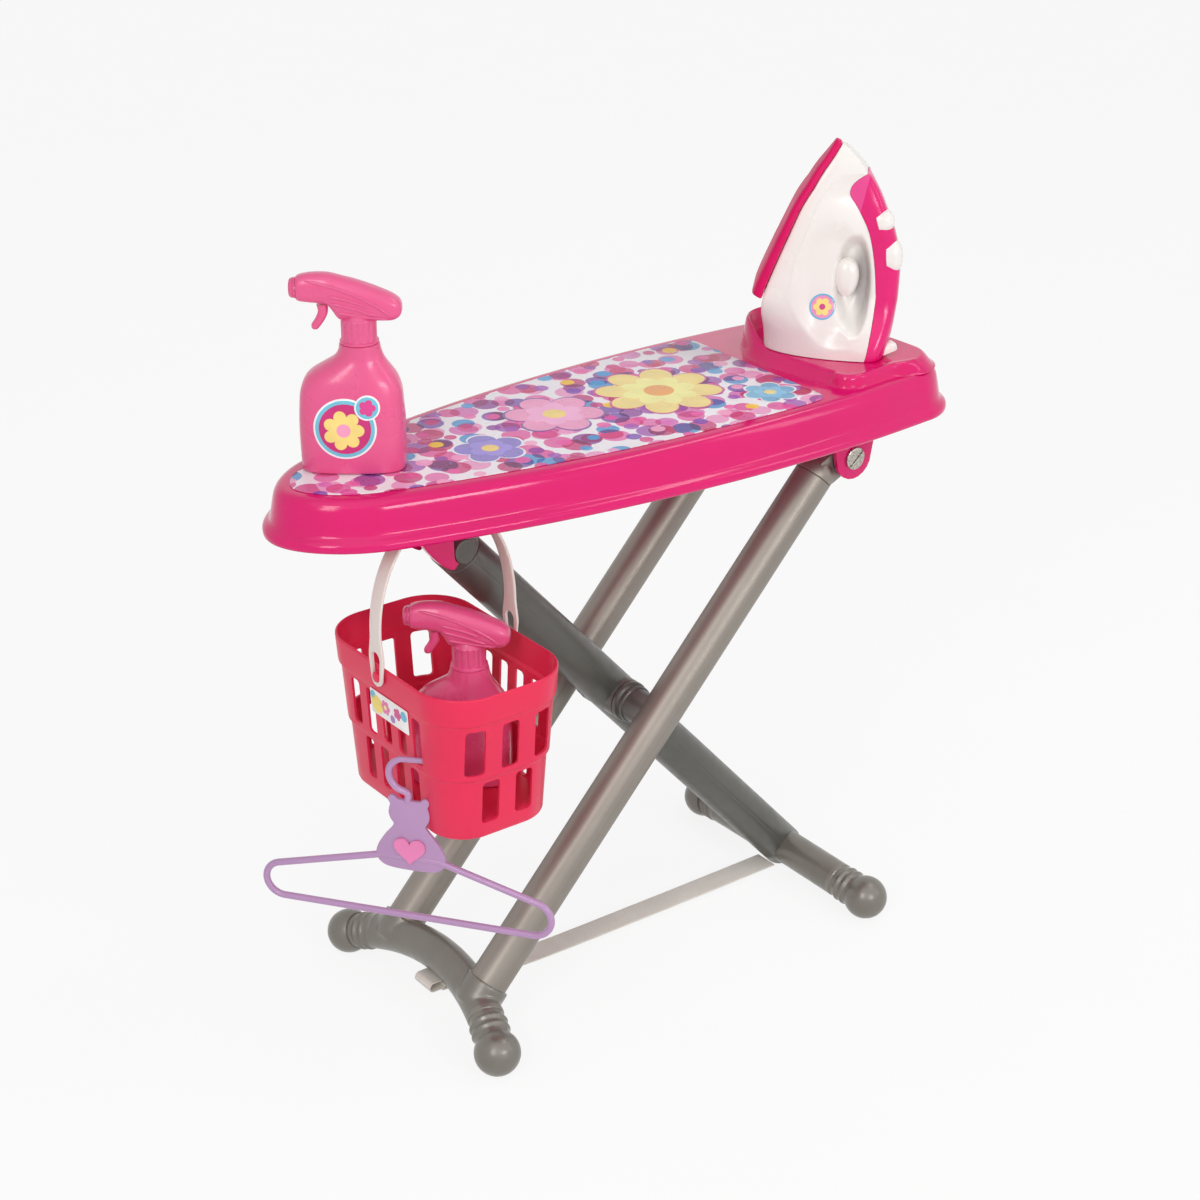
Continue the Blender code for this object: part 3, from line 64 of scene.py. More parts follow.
# Board
BOARD_TOP = 0.479
LIP_BOTTOM = 0.4416
NOSE_X = -0.304
NOSE_LEN = 0.075
NOSE_POWER = 2.7
NOSE_STEPS = 40
END_X = 0.288
END_R = 0.045
WIDE_X = 0.1
WIDE_HALF = 0.1105
SIDE_BOW = 0.4
SHEET_INSET = 0.0216
SHEET_END = 0.148
SHEET_CORNER = 0.012
SHEET_T = 0.0005
GAP = 0.0003

# Light
AMBIENT = 0.42
FLOOR_GLOW = 0.86

# Iron rest
REST_INSET = 0.022
REST_FAR_Y = 0.056
RIM_FALL = (0.006, 0.05)
REST_EDGE = (
    (0.215, 0.061), (0.19, 0.06), (0.1735, 0.05), (0.162, 0.029), (0.1587, 0.009), (0.1604, -0.018),
    (0.165, -0.052), (0.1705, -0.087),
)


# Small geometry tools
def turns(count):
    """Angles spaced evenly round a full turn."""
    return [2 * math.pi * i / count for i in range(count)]


def smooth_path(points, per_span):
    """Points on a smooth curve through a few chosen points, or rows between the rows of a table."""
    last = len(points) - 1
    result = []
    for i in range(last):
        p0, p1, p2, p3 = (Vector(points[min(max(i + k, 0), last)]) for k in (-1, 0, 1, 2))
        for k in range(per_span):
            t = k / per_span
            result.append(0.5 * (2 * p1 + (p2 - p0) * t + (2 * p0 - 5 * p1 + 4 * p2 - p3) * t * t
                                 + (3 * p1 - p0 - 3 * p2 + p3) * t ** 3))
    return result + [Vector(points[-1])]


def arc(centre, radius, start, end, count):
    """Points on an arc in a plane, angles in degrees."""
    angles = [math.radians(start + (end - start) * i / (count - 1)) for i in range(count)]
    return [(centre[0] + radius * math.cos(a), centre[1] + radius * math.sin(a)) for a in angles]


def circle(radius, sides):
    return [(radius * math.cos(a), radius * math.sin(a)) for a in turns(sides)]


def bulge(value, power):
    """A power that keeps the value's sign."""
    return math.copysign(abs(value) ** power, value)


def squared(half_x, half_y, power, count):
    """A rounded oblong: power 2 is an ellipse, more is squarer."""
    return [(half_x * bulge(math.cos(a), 2 / power), half_y * bulge(math.sin(a), 2 / power))
            for a in turns(count)]


def rounded_box(half_x, half_y, corner, per_corner):
    points = []
    for sx, sy, start in ((1, 1, 0), (-1, 1, 90), (-1, -1, 180), (1, -1, 270)):
        centre = (sx * (half_x - corner), sy * (half_y - corner))
        points += arc(centre, corner, start, start + 90, per_corner)
    return points


def inward(outline, i):
    """The direction into a closed outline at one of its points."""
    along = (Vector(outline[(i + 1) % len(outline)]) - Vector(outline[i - 1])).normalized()
    return -along.y, along.x


def inset(outline, distance):
    """Move a closed outline inwards by a distance along its own normals."""
    moved = []
    for i, (x, y) in enumerate(outline):
        nx, ny = inward(outline, i)
        moved.append((x + nx * distance, y + ny * distance))
    return moved


def level(outline, z):
    return [Vector((x, y, z)) for x, y in outline]


def ease(value, start=0.0, end=1.0):
    """A soft step from nought at the start to one at the end."""
    share = min(max((value - start) / (end - start), 0.0), 1.0)
    return share * share * (3 - 2 * share)


def mixed(first, second, share):
    """Two rows of numbers mixed by the second's share."""
    return [a * (1 - share) + b * share for a, b in zip(first, second)]


def turned(degrees, axis):
    return Matrix.Rotation(math.radians(degrees), 4, axis)


def at(point, yaw=0.0):
    return Matrix.Translation(point) @ Matrix.Rotation(yaw, 4, "Z")


def aim(point, direction):
    """A matrix at a point whose Z axis lies along a direction."""
    return Matrix.Translation(point) @ direction.to_track_quat("Z", "Y").to_matrix().to_4x4()


def upright(yaw, point):
    """A matrix that stands an XY outline up: its X along the yaw, its Y along +Z."""
    return at(point, yaw) @ turned(90, "X")


def to_mesh(work):
    bmesh.ops.recalc_face_normals(work, faces=work.faces)
    mesh = bpy.data.meshes.new("shape")
    work.to_mesh(mesh)
    work.free()
    return mesh


def loft(rings, closed=False):
    """A skin through rings of equal point count, capped at both ends or closed from last ring to first."""
    work = bmesh.new()
    loops = [[work.verts.new(point) for point in ring] for ring in rings]
    for low, high in zip(loops, loops[1:] + loops[:1] if closed else loops[1:]):
        for i in range(len(low)):
            j = (i + 1) % len(low)
            work.faces.new((low[i], low[j], high[j], high[i]))
    if not closed:
        work.faces.new(loops[0][::-1])
        work.faces.new(loops[-1])
    return to_mesh(work)


def lathe(profile, sides):
    """A closed solid of turning from (radius, height) points. Flat ends are closed on the axis."""
    first, last = profile[0], profile[-1]
    rows = [(0.0, first[1])] * (first[0] > 0) + profile + [(0.0, last[1])] * (last[0] > 0)
    work = bmesh.new()
    loops = []
    for radius, height in rows:
        ring = circle(radius, sides) if radius else [(0.0, 0.0)]
        loops.append([work.verts.new((x, y, height)) for x, y in ring])
    for low, high in zip(loops, loops[1:]):
        for i in range(sides):
            j = (i + 1) % sides
            corners = (low[i % len(low)], low[j % len(low)], high[j % len(high)], high[i % len(high)])
            work.faces.new(list(dict.fromkeys(corners)))
    return to_mesh(work)


def sweep(path, section, closed=False, up=SIDE):
    """Carry a section of (across, up) points along a path. It may depend on the place from 0 to 1."""
    rings = []
    last = len(path) - 1
    for i, point in enumerate(path):
        ahead = path[(i + 1) % len(path)] if closed else path[min(i + 1, last)]
        behind = path[i - 1] if closed else path[max(i - 1, 0)]
        along = (ahead - behind).normalized()
        normal = along.cross(up).normalized()
        across = normal.cross(along).normalized()
        points = section(i / last) if callable(section) else section
        rings.append([point + across * a + normal * b for a, b in points])
    return loft(rings, closed)


def plate(outline, thickness, round_edge=0.0, segments=4):
    """A flat outline on XY, evenly thick to both sides, with its rims rounded."""
    half = thickness / 2
    steps = [(0.0, -half)]
    if round_edge:
        edge = min(round_edge, half)
        steps = [(edge * (1 - math.sin(t)), -half + edge * (1 - math.cos(t)))
                 for t in (math.pi / 2 * k / segments for k in range(segments + 1))]
    rings = [level(inset(outline, i), z) for i, z in steps]
    rings += [level(inset(outline, i), -z) for i, z in reversed(steps)]
    return loft(rings)


def shown(name, data):
    item = bpy.data.objects.new(name, data)
    bpy.context.scene.collection.objects.link(item)
    return item


def baked(body, helpers=()):
    """The mesh that an object's modifiers give. The object and its helpers are taken away."""
    bpy.context.view_layer.update()
    result = bpy.data.meshes.new_from_object(body.evaluated_get(bpy.context.evaluated_depsgraph_get()))
    for item in (body, *helpers):
        bpy.data.objects.remove(item)
    return result


# Materials
def srgb(red, green, blue):
    """A colour as seen on screen, 0 to 255, as the linear values that a shader takes."""
    def linear(value):
        share = value / 255
        return share / 12.92 if share <= 0.04045 else ((share + 0.055) / 1.055) ** 2.4
    return (linear(red), linear(green), linear(blue), 1.0)


def shade(colour, factor):
    return (*(min(1.0, c * factor) for c in colour[:3]), 1.0)


class Look:
    """A node material that is built up around one Principled shader."""

    def __init__(self, name, roughness, **sockets):
        self.material = bpy.data.materials.new(name)
        self.material.use_nodes = True
        self.tree = self.material.node_tree
        self.shader = self.tree.nodes["Principled BSDF"]
        sockets.setdefault("specular_IOR_level", 0.5)
        for socket, value in dict(sockets, roughness=roughness).items():
            words = " ".join(w if w.isupper() else w.title() for w in socket.split("_"))
            self.shader.inputs[words].default_value = value
        self.place = self.node("ShaderNodeTexCoord").outputs["Object"]

    def feed(self, socket, value):
        if isinstance(value, bpy.types.NodeSocket):
            self.tree.links.new(value, socket)
        else:
            socket.default_value = value

    def node(self, kind, settings=None, **inputs):
        made = self.tree.nodes.new(kind)
        for key, value in (settings or {}).items():
            setattr(made, key, value)
        for key, value in inputs.items():
            self.feed(made.inputs[key.replace("_", " ")], value)
        return made

    def noise(self, scale, detail, stretch=None):
        where = self.place
        if stretch:
            where = self.node("ShaderNodeMapping", Vector=where, Scale=stretch).outputs["Vector"]
        return self.node("ShaderNodeTexNoise", Vector=where, Scale=scale, Detail=detail).outputs["Fac"]

    def between(self, value, low, high, to_low=0.0, to_high=1.0):
        """Carry a value softly from one range to another."""
        made = self.node("ShaderNodeMapRange", {"interpolation_type": "SMOOTHSTEP"}, Value=value,
                         From_Min=low, From_Max=high, To_Min=to_low, To_Max=to_high)
        return made.outputs["Result"]

    def mix(self, share, first, second, blend="MIX"):
        made = self.node("ShaderNodeMix", {"data_type": "RGBA", "blend_type": blend})
        for index, value in ((0, share), (6, first), (7, second)):
            self.feed(made.inputs[index], value)
        return made.outputs[2]

    def maths(self, operation, first, second=0.0):
        made = self.node("ShaderNodeMath", {"operation": operation})
        self.feed(made.inputs[0], first)
        self.feed(made.inputs[1], second)
        return made.outputs[0]

    def blend(self, first, share, second):
        """Two values run together, the first with the given share."""
        rest = self.maths("MULTIPLY", second, 1 - share)
        return self.maths("ADD", self.maths("MULTIPLY", first, share), rest)

    def clouds(self, tone, spread, dark, light):
        """A colour that runs between two shades over the middle of a tone's range."""
        return self.mix(self.between(tone, 0.5 - spread, 0.5 + spread), dark, light)

    def link(self, value, socket):
        self.tree.links.new(value, self.shader.inputs[socket])

    def colour(self, value):
        self.link(value, "Base Color")

    def gloss(self, tone, spread, low, high):
        self.link(self.between(tone, 0.5 - spread, 0.5 + spread, low, high), "Roughness")

    def bump(self, height, strength, distance):
        made = self.node("ShaderNodeBump", Height=height, Strength=strength, Distance=distance)
        self.link(made.outputs["Normal"], "Normal")


def moulded(name, colour, roughness, coat, variation=0.04, peel=0.01, **sockets):
    """Moulded plastic: faint cloudy colour, uneven gloss and the fine ripple of a mould's polish."""
    look = Look(name, roughness, coat_weight=coat, coat_roughness=0.08, **sockets)
    dark, light = shade(colour, 1 - variation), shade(colour, 1 + variation)
    look.colour(look.clouds(look.noise(16.0, 4.0), 0.3, dark, light))
    look.gloss(look.noise(40.0, 3.0), 0.3, roughness - 0.03, roughness + 0.05)
    fine = look.maths("MULTIPLY", look.noise(1400.0, 2.0), 0.1)
    look.bump(look.maths("ADD", fine, look.noise(34.0, 1.0)), peel, 0.001)
    return look.material


def drawn_metal(name, colour, roughness, metallic):
    """Satin silver with faint lines along the piece's own Z axis."""
    look = Look(name, roughness, metallic=metallic, coat_weight=0.1, coat_roughness=0.4)
    lines = look.noise(1.0, 3.0, (420.0, 420.0, 1.2))
    tone = look.blend(lines, 0.6, look.noise(22.0, 3.0))
    look.colour(look.clouds(tone, 0.2, shade(colour, 0.92), shade(colour, 1.08)))
    look.gloss(lines, 0.2, roughness - 0.02, roughness + 0.03)
    look.bump(lines, 0.0008, 0.0002)
    return look.material


def satin_plastic(name, colour, roughness, metallic):
    """Silver-grey plastic with a fine metal flake and ridges that handling has polished."""
    look = Look(name, roughness, metallic=metallic, coat_weight=0.3, coat_roughness=0.28)
    tone = look.blend(look.noise(2600.0, 1.0), 0.2, look.noise(26.0, 3.0))
    tint = look.clouds(tone, 0.2, shade(colour, 0.93), shade(colour, 1.07))
    ridge = look.between(look.node("ShaderNodeNewGeometry").outputs["Pointiness"], 0.51, 0.58, 0.0, 0.05)
    look.colour(look.mix(ridge, tint, (1.0, 0.93, 0.95, 1.0)))
    look.gloss(look.noise(120.0, 3.0), 0.2, roughness - 0.05, roughness + 0.09)
    look.bump(look.noise(60.0, 1.0), 0.02, 0.0004)
    return look.material


def brushed_steel(name):
    look = Look(name, 0.28, metallic=0.95)
    rings = look.noise(1.0, 2.0, (900.0, 60.0, 900.0))
    look.colour(look.clouds(rings, 0.2, srgb(150, 145, 138), srgb(205, 200, 192)))
    look.gloss(rings, 0.2, 0.22, 0.4)
    look.bump(rings, 0.08, 0.0002)
    return look.material


def webbing_look(name):
    """Narrow woven tape: warp ribs along its length, weft across, and a little soil."""
    look = Look(name, 0.88, sheen_weight=0.35, sheen_roughness=0.5)
    ribs, weft = (look.node("ShaderNodeTexWave", {"bands_direction": axis, "wave_profile": "SIN"},
                            Vector=look.place, Scale=scale, Distortion=wander, Detail=1.0).outputs["Fac"]
                  for axis, scale, wander in (("Y", 190.0, 0.6), ("X", 230.0, 0.8)))
    weave = look.maths("MAXIMUM", ribs, look.maths("MULTIPLY", weft, 0.9))
    tone = look.blend(weave, 0.6, look.noise(700.0, 4.0))
    soil = look.between(look.noise(30.0, 4.0), 0.35, 0.7, 0.0, 0.35)
    woven = look.mix(look.between(tone, 0.25, 0.85), srgb(214, 207, 198), srgb(247, 242, 234))
    look.colour(look.mix(soil, woven, srgb(218, 210, 199)))
    look.bump(tone, 0.5, 0.0005)
    return look.material


# Palette of the printed dots, and of those that lie on top
DOT_COLOURS = (
    (214, 14, 126), (240, 112, 184), (204, 10, 120), (248, 162, 208), (170, 84, 184), (234, 66, 160),
    (124, 62, 178), (226, 34, 140), (58, 158, 218), (238, 90, 170), (226, 110, 190), (150, 50, 160),
)
TOP_DOTS = ((254, 206, 20), (250, 168, 204))
# Passes of dots: scale, offset, radius, turn, way of mixing, palette
DOT_PASSES = (
    (40.0, (0.0, 0.0, 0.0), 0.43, 0.0, "MULTIPLY", DOT_COLOURS),
    (37.0, (3.37, 1.61, 0.0), 0.38, 0.23, "MULTIPLY", DOT_COLOURS),
    (46.0, (7.1, 5.3, 0.0), 0.27, 0.55, "MIX", TOP_DOTS + DOT_COLOURS),
)
DOT_EDGE = 0.012
DOT_STRENGTH = 0.88


def dotted_print(name):
    """White printed film with two passes of see-through round dots and a third of opaque ones."""
    look = Look(name, 0.36, coat_weight=0.04, coat_roughness=0.1, specular_IOR_level=0.22)
    colour = srgb(246, 240, 246)
    for scale, offset, radius, turn, blend, palette in DOT_PASSES:
        flat = look.node("ShaderNodeMapping", Vector=look.place, Location=offset, Rotation=(0, 0, turn + 0.3),
                         Scale=(scale, scale, 0.0)).outputs["Vector"]
        cells = look.node("ShaderNodeTexVoronoi", {"voronoi_dimensions": "2D"}, Vector=flat, Scale=1.0,
                          Randomness=0.62)
        chance = look.node("ShaderNodeSeparateColor", Color=cells.outputs["Color"]).outputs
        pick = look.node("ShaderNodeValToRGB", Fac=look.maths("FRACT", look.maths("ADD", chance[0], turn)))
        ramp = pick.color_ramp
        ramp.interpolation = "CONSTANT"
        while len(ramp.elements) < len(palette):
            ramp.elements.new(1.0)
        for i, element in enumerate(ramp.elements):
            element.position = i / len(palette)
            element.color = srgb(*palette[(i * 5 + int(turn * 20)) % len(palette)])
        size = look.between(chance[1], 0.0, 1.0, radius * 0.82, radius * 1.08)
        edge = look.maths("SUBTRACT", cells.outputs["Distance"], size)
        dot = look.between(edge, -DOT_EDGE, DOT_EDGE, DOT_STRENGTH, 0.0)
        colour = look.mix(dot, colour, pick.outputs["Color"], blend)
    screen = look.between(look.noise(900.0, 1.0), 0.3, 0.7, 0.0, 0.06)
    look.colour(look.mix(screen, colour, (1, 1, 1, 1)))
    look.gloss(look.noise(70.0, 3.0), 0.2, 0.24, 0.38)
    look.bump(look.noise(260.0, 3.0), 0.05, 0.0003)
    return look.material


# Inks: roughness, coat, scale of the clouds, their shades, scale of the uneven gloss, its range
FILM_INK = (0.32, 0.35, 45.0, (0.94, 1.05), 80.0, (0.26, 0.38))
LABEL_INK = (0.34, 0.3, 60.0, (0.95, 1.04), 90.0, (0.28, 0.4))


def ink(name, colour, kind=LABEL_INK):
    """Printed colour. On a label it has a faint grain."""
    roughness, coat, cloud, tones, patch, gloss = kind
    look = Look(name, roughness, coat_weight=coat, coat_roughness=0.1)
    look.colour(look.clouds(look.noise(cloud, 4.0), 0.15, *(shade(srgb(*colour), tone) for tone in tones)))
    look.gloss(look.noise(patch, 2.0), 0.2, *gloss)
    if kind is LABEL_INK:
        look.bump(look.noise(300.0, 2.0), 0.03, 0.0003)
    return look.material


# Finishes: a material and a slot's name
PINK = (moulded("gloss_magenta", srgb(222, 7, 108), 0.13, 0.2, specular_IOR_level=0.28), "pink")
WHITE = (moulded("gloss_white", srgb(243, 238, 233), 0.24, 0.3, 0.012, 0.008), "white")
CORAL = (moulded("coral_moulding", srgb(235, 46, 86), 0.36, 0.05, specular_IOR_level=0.24), "coral")
ROSE = (moulded("rose_moulding", srgb(234, 88, 142), 0.28, 0.2, subsurface_weight=0.08), "rose")
PALE = (moulded("pale_strap", srgb(238, 224, 217), 0.36, 0.15, 0.02, subsurface_weight=0.1), "pale")
LILAC = (moulded("lilac_moulding", srgb(184, 143, 187), 0.34, 0.2), "lilac")
BADGE = (moulded("badge_pink", srgb(236, 130, 184), 0.34, 0.2), "rose")
SILVER = (drawn_metal("satin_silver", srgb(144, 137, 129), 0.44, 0.62), "silver")
SOLE = (moulded("satin_magenta", srgb(222, 10, 98), 0.42, 0.0, specular_IOR_level=0.2), "pink")
WARM_GREY = (satin_plastic("warm_grey_flake", srgb(122, 118, 110), 0.33, 0.35), "warm_grey")
DARK_GREY = (satin_plastic("dark_grey_flake", srgb(88, 88, 82), 0.4, 0.25), "dark_grey")
STEEL = (brushed_steel("turned_steel"), "steel")
WEBBING = (webbing_look("woven_tape"), "webbing")
PRINT = (dotted_print("dotted_film"), "print")


# Pieces
def piece(name, mesh, finish, body, stands_for=(), world=None, crease=38):
    """Show a mesh that rides on a body and, where it stands for CAD nodes, hides them."""
    material, slot = finish
    mesh.name = name
    item = shown(name, mesh)
    item.matrix_world = world or Matrix.Identity(4)
    mesh.materials.append(material)
    mesh.shade_smooth()
    mesh.set_sharp_from_angle(angle=math.radians(crease))
    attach(item, body)
    if stands_for:
        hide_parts(*stands_for)
    return item


def finish_node(name, finish, bevel):
    """Give a CAD node that stays in view its finish and softly rounded edges."""
    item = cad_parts[name]
    item.data.materials.clear()
    item.data.materials.append(finish[0])
    weld = item.modifiers.new("weld", "WELD")
    weld.merge_threshold = 0.00002
    rounding = item.modifiers.new("soft_edges", "BEVEL")
    rounding.width = bevel
    rounding.segments = 3
    rounding.limit_method = "ANGLE"
    rounding.angle_limit = math.radians(50)
    item.data.shade_smooth()
    item.data.set_sharp_from_angle(angle=math.radians(40))


# Board
def lip_half_width(x):
    bowed = WIDE_HALF - SIDE_BOW * (x - WIDE_X) ** 2
    reach = min(max((x - NOSE_X) / NOSE_LEN, 0.0), 1.0)
    return bowed * math.sqrt(1 - (1 - reach) ** NOSE_POWER)


def lip_outline(side_steps, corner_steps):
    """The lip's outline in plan, nose first, near side then far side."""
    side_start = NOSE_X + NOSE_LEN
    side_end = END_X - END_R
    xs = [NOSE_X + NOSE_LEN * (1 - math.cos(math.pi / 2 * i / NOSE_STEPS)) for i in range(NOSE_STEPS)]
    xs += [side_start + (side_end - side_start) * i / side_steps for i in range(side_steps)]
    near = [(x, -lip_half_width(x)) for x in xs]
    near += arc((side_end, END_R - lip_half_width(side_end)), END_R, -90, 0, corner_steps)
    return near + [(x, -y) for x, y in reversed(near[1:])]


# Section of the board's wall: how far in from the lip, and the height above the lip's foot
WALL_SECTION = (
    (0.005, 0.0), (0.0028, 0.0), (0.0012, 0.0005), (0.0003, 0.0016), (0.0, 0.003), (0.0, 0.0052),
    (0.0006, 0.0068), (0.0019, 0.0082), (0.0036, 0.0094), (0.005, 0.0106), (0.0057, 0.0122),
    (0.0064, 0.016), (0.0075, 0.022), (0.0085, 0.0272), (0.0094, 0.0308), (0.0107, 0.0336),
    (0.0125, 0.0357), (0.0148, 0.037), (0.0175, 0.0374),
)
# Underside, from the ceiling down to the lip
HOLLOW_SECTION = ((0.015, 0.0344), (0.0122, 0.0335), (0.011, 0.03), (0.0095, 0.011), (0.009, 0.002))


def make_board():
    lip = lip_outline(44, 22)
    rings = [level(inset(lip, i), LIP_BOTTOM + z) for i, z in HOLLOW_SECTION + WALL_SECTION]
    piece("board_moulding", loft(rings), PINK, "board", ["board_shell"])


# Sections of the iron's rest, from outside in: distance inwards and height above the board's top
RAMP_SECTION = (
    (-0.003, -0.0004), (-0.0018, 0.0002), (-0.0006, 0.0011), (0.001, 0.0028), (0.0032, 0.0055),
    (0.0052, 0.0078), (0.0066, 0.0091), (0.0078, 0.0097), (0.0086, 0.0099), (0.009, 0.0099),
    (0.0094, 0.0099), (0.0098, 0.0099), (0.0102, 0.0099),
)
HORN_SECTION = (
    (-0.003, -0.0004), (-0.0014, 0.0005), (-0.0004, 0.0026), (0.0004, 0.0072), (0.0012, 0.0132),
    (0.002, 0.0192), (0.0028, 0.0236), (0.0037, 0.0259), (0.0046, 0.0265), (0.0056, 0.0258),
    (0.0064, 0.0232), (0.0072, 0.016), (0.0084, 0.0099),
)
BLOCK_SECTION = (
    (-0.0016, -0.0004), (-0.0008, 0.0004), (-0.0002, 0.002), (0.0002, 0.0044), (0.0006, 0.0068),
    (0.0011, 0.0085), (0.0018, 0.0096), (0.0028, 0.0102), (0.004, 0.0104), (0.0054, 0.0103),
    (0.0068, 0.01), (0.0084, 0.0099), (0.01, 0.0099),
)
REST_CORNER = 0.015
REST_START = REST_EDGE[-1][0] + 0.006
REST_END_GROW = 0.0085
REST_END = (0.22, 0.25)
REST_BACK = (0.232, 0.252)
RAMP_ENDS = (-0.0685, -0.066)
HORN_ENDS = (0.232, 0.202)
BEND_STEPS = 14


def round_corner(first, second, corner):
    """Join two runs of points by a round corner."""
    corner = Vector(corner)
    first, second = ([Vector(p) for p in run if (Vector(p) - corner).length > REST_CORNER]
                     for run in (first, second))
    bend = []
    for i in range(1, BEND_STEPS):
        t = i / BEND_STEPS
        bend.append(first[-1] * (1 - t) ** 2 + corner * 2 * t * (1 - t) + second[0] * t * t)
    return first, bend, second


def rest_outline():
    """The rest's outline in plan, and which of its points is the first on the front."""
    lip = lip_outline(90, 30)
    base = []
    for deep, shallow in zip(inset(lip, REST_INSET), inset(lip, REST_INSET - REST_END_GROW)):
        base.append(mixed(deep, shallow, ease(deep[0], *REST_END)))
    base = [p for p in base if p[0] > REST_START]
    near = [p for p in base if p[1] <= 0]
    side = near + [p for p in base if 0 < p[1] < REST_FAR_Y]
    front = smooth_path(REST_EDGE, 30)
    side, far_bend, front = round_corner(side, front, (side[-1][0], REST_EDGE[0][1]))
    front, near_bend, side = round_corner(front, side, (REST_EDGE[-1][0], near[0][1]))
    return side + far_bend + front + near_bend, len(side) + len(far_bend)


def make_rest():
    """The raised rest: a ramp towards the print, a tall horn on the far side, a square block on the near."""
    outline, first_front = rest_outline()
    forms = []
    for i, (x, y) in enumerate(outline):
        rise = ease(y, *RIM_FALL) * ease(x, *HORN_ENDS)
        slope = ease(y, *RAMP_ENDS) if i >= first_front else ease(x, *REST_BACK)
        forms.append((x, y, inward(outline, i), rise, slope))
    rings = []
    for ramp, horn, block in zip(RAMP_SECTION, HORN_SECTION, BLOCK_SECTION):
        ring = []
        for x, y, (nx, ny), rise, slope in forms:
            depth, z = mixed(mixed(block, ramp, slope), horn, rise)
            ring.append(Vector((x + nx * depth, y + ny * depth, BOARD_TOP + z)))
        rings.append(ring)
    piece("iron_rest", loft(rings), PINK, "board")


def sheet_outline(extra=0.0):
    base = inset(lip_outline(40, 8), SHEET_INSET + extra)
    body = [p for p in base if p[0] < SHEET_END - SHEET_CORNER]
    near = [p for p in body if p[1] <= 0]
    far = [p for p in body if p[1] > 0]
    half = lip_half_width(SHEET_END) - SHEET_INSET - extra
    corner_x = SHEET_END - extra - SHEET_CORNER
    corners = arc((corner_x, SHEET_CORNER - half), SHEET_CORNER, -90, 0, 12)
    corners += arc((corner_x, half - SHEET_CORNER), SHEET_CORNER, 0, 90, 12)
    return near + corners + far


PETAL_ROUND = 0.7


def flower(petals, radius, depth=0.34, count=160):
    """A plain flower outline with round petals."""
    points = []
    for angle in turns(count):
        reach = radius * (1 - depth + depth * abs(math.cos(petals * angle / 2)) ** PETAL_ROUND)
        points.append((reach * math.cos(angle), reach * math.sin(angle)))
    return points


INK_T = 0.00008
BLOOM_SINK = 0.00018
BLOOM_LINE = 0.0022
BLOOM_PALER = 22
BLOOM_INNER = 0.62
BLOOM_HEART = 0.24
# Flowers of the print: petals, radius, place, turn, colour, colours of the heart and the outline
BLOOMS = (
    ("bloom_large", 8, 0.05, (0.05, 0.003), 0.2, (250, 222, 128), (242, 160, 60), (206, 60, 140)),
    ("bloom_middle", 6, 0.038, (-0.046, 0.01), 0.5, (244, 150, 196), (250, 216, 110), (120, 74, 164)),
    ("bloom_small", 5, 0.027, (-0.126, -0.02), 0.1, (132, 110, 200), (248, 210, 100), (236, 240, 250)),
    ("bloom_side", 6, 0.021, (0.118, -0.052), 0.9, (112, 186, 224), (252, 236, 160), (240, 246, 252)),
)


def printed(outline):
    return loft([level(outline, 0.0), level(outline, INK_T)])


def make_sheet():
    """The printed film on the board, with flat flowers in four layers."""
    low = BOARD_TOP + GAP
    rings = [level(sheet_outline(), low), level(sheet_outline(), low + SHEET_T * 0.6),
             level(sheet_outline(SHEET_T * 0.5), low + SHEET_T)]
    piece("printed_film", loft(rings), PRINT, "board", ["cover_sheet"])
    for name, petals, radius, place, turn, colour, heart, line in BLOOMS:
        pale = [min(255, c + BLOOM_PALER) for c in colour]
        layers = (("_line", flower(petals, radius + BLOOM_LINE), line, turn),
                  ("", flower(petals, radius), colour, turn),
                  ("_inner", flower(petals, radius * BLOOM_INNER, 0.3), pale, turn + math.pi / petals),
                  ("_heart", circle(radius * BLOOM_HEART, 48), heart, 0.0))
        for k, (word, outline, tint, yaw) in enumerate(layers):
            where = at((*place, BOARD_TOP + 2 * GAP + SHEET_T + k * INK_T - BLOOM_SINK), yaw)
            finish = (ink(name + word + "_ink", tint, FILM_INK), "print")
            piece(name + word, printed(outline), finish, "board", world=where)


make_board()
make_rest()
make_sheet()


# Iron, standing on its heel. In its own frame X runs from sole to handle, Y across, Z up its length
IRON_PLACE = at((0.205, -0.02, BOARD_TOP + 0.01 + GAP), math.radians(-44.0))
IRON_HEIGHT = 0.171
IRON_HALF = 0.03
HEEL_HALF = 0.031
HEEL_RISE = 0.05
SPINE_HALF = 0.015
SOLE_T = 0.0088
SOLE_FROM = 0.0485
CHEEK_TOP = 0.15
LOBE_LEAN = 0.22
PAD_WALL = 0.15
PAD_DOME = 0.72
LOBE_EDGE = 0.0225 - 0.118 * LOBE_LEAN
RING_STEPS = 64
SPINE_STEPS = 28
FOOT_EDGE = 0.0009
BUTTON_SINK = 0.004
BUTTON_H = 0.0102
BUTTON_Y = -0.005
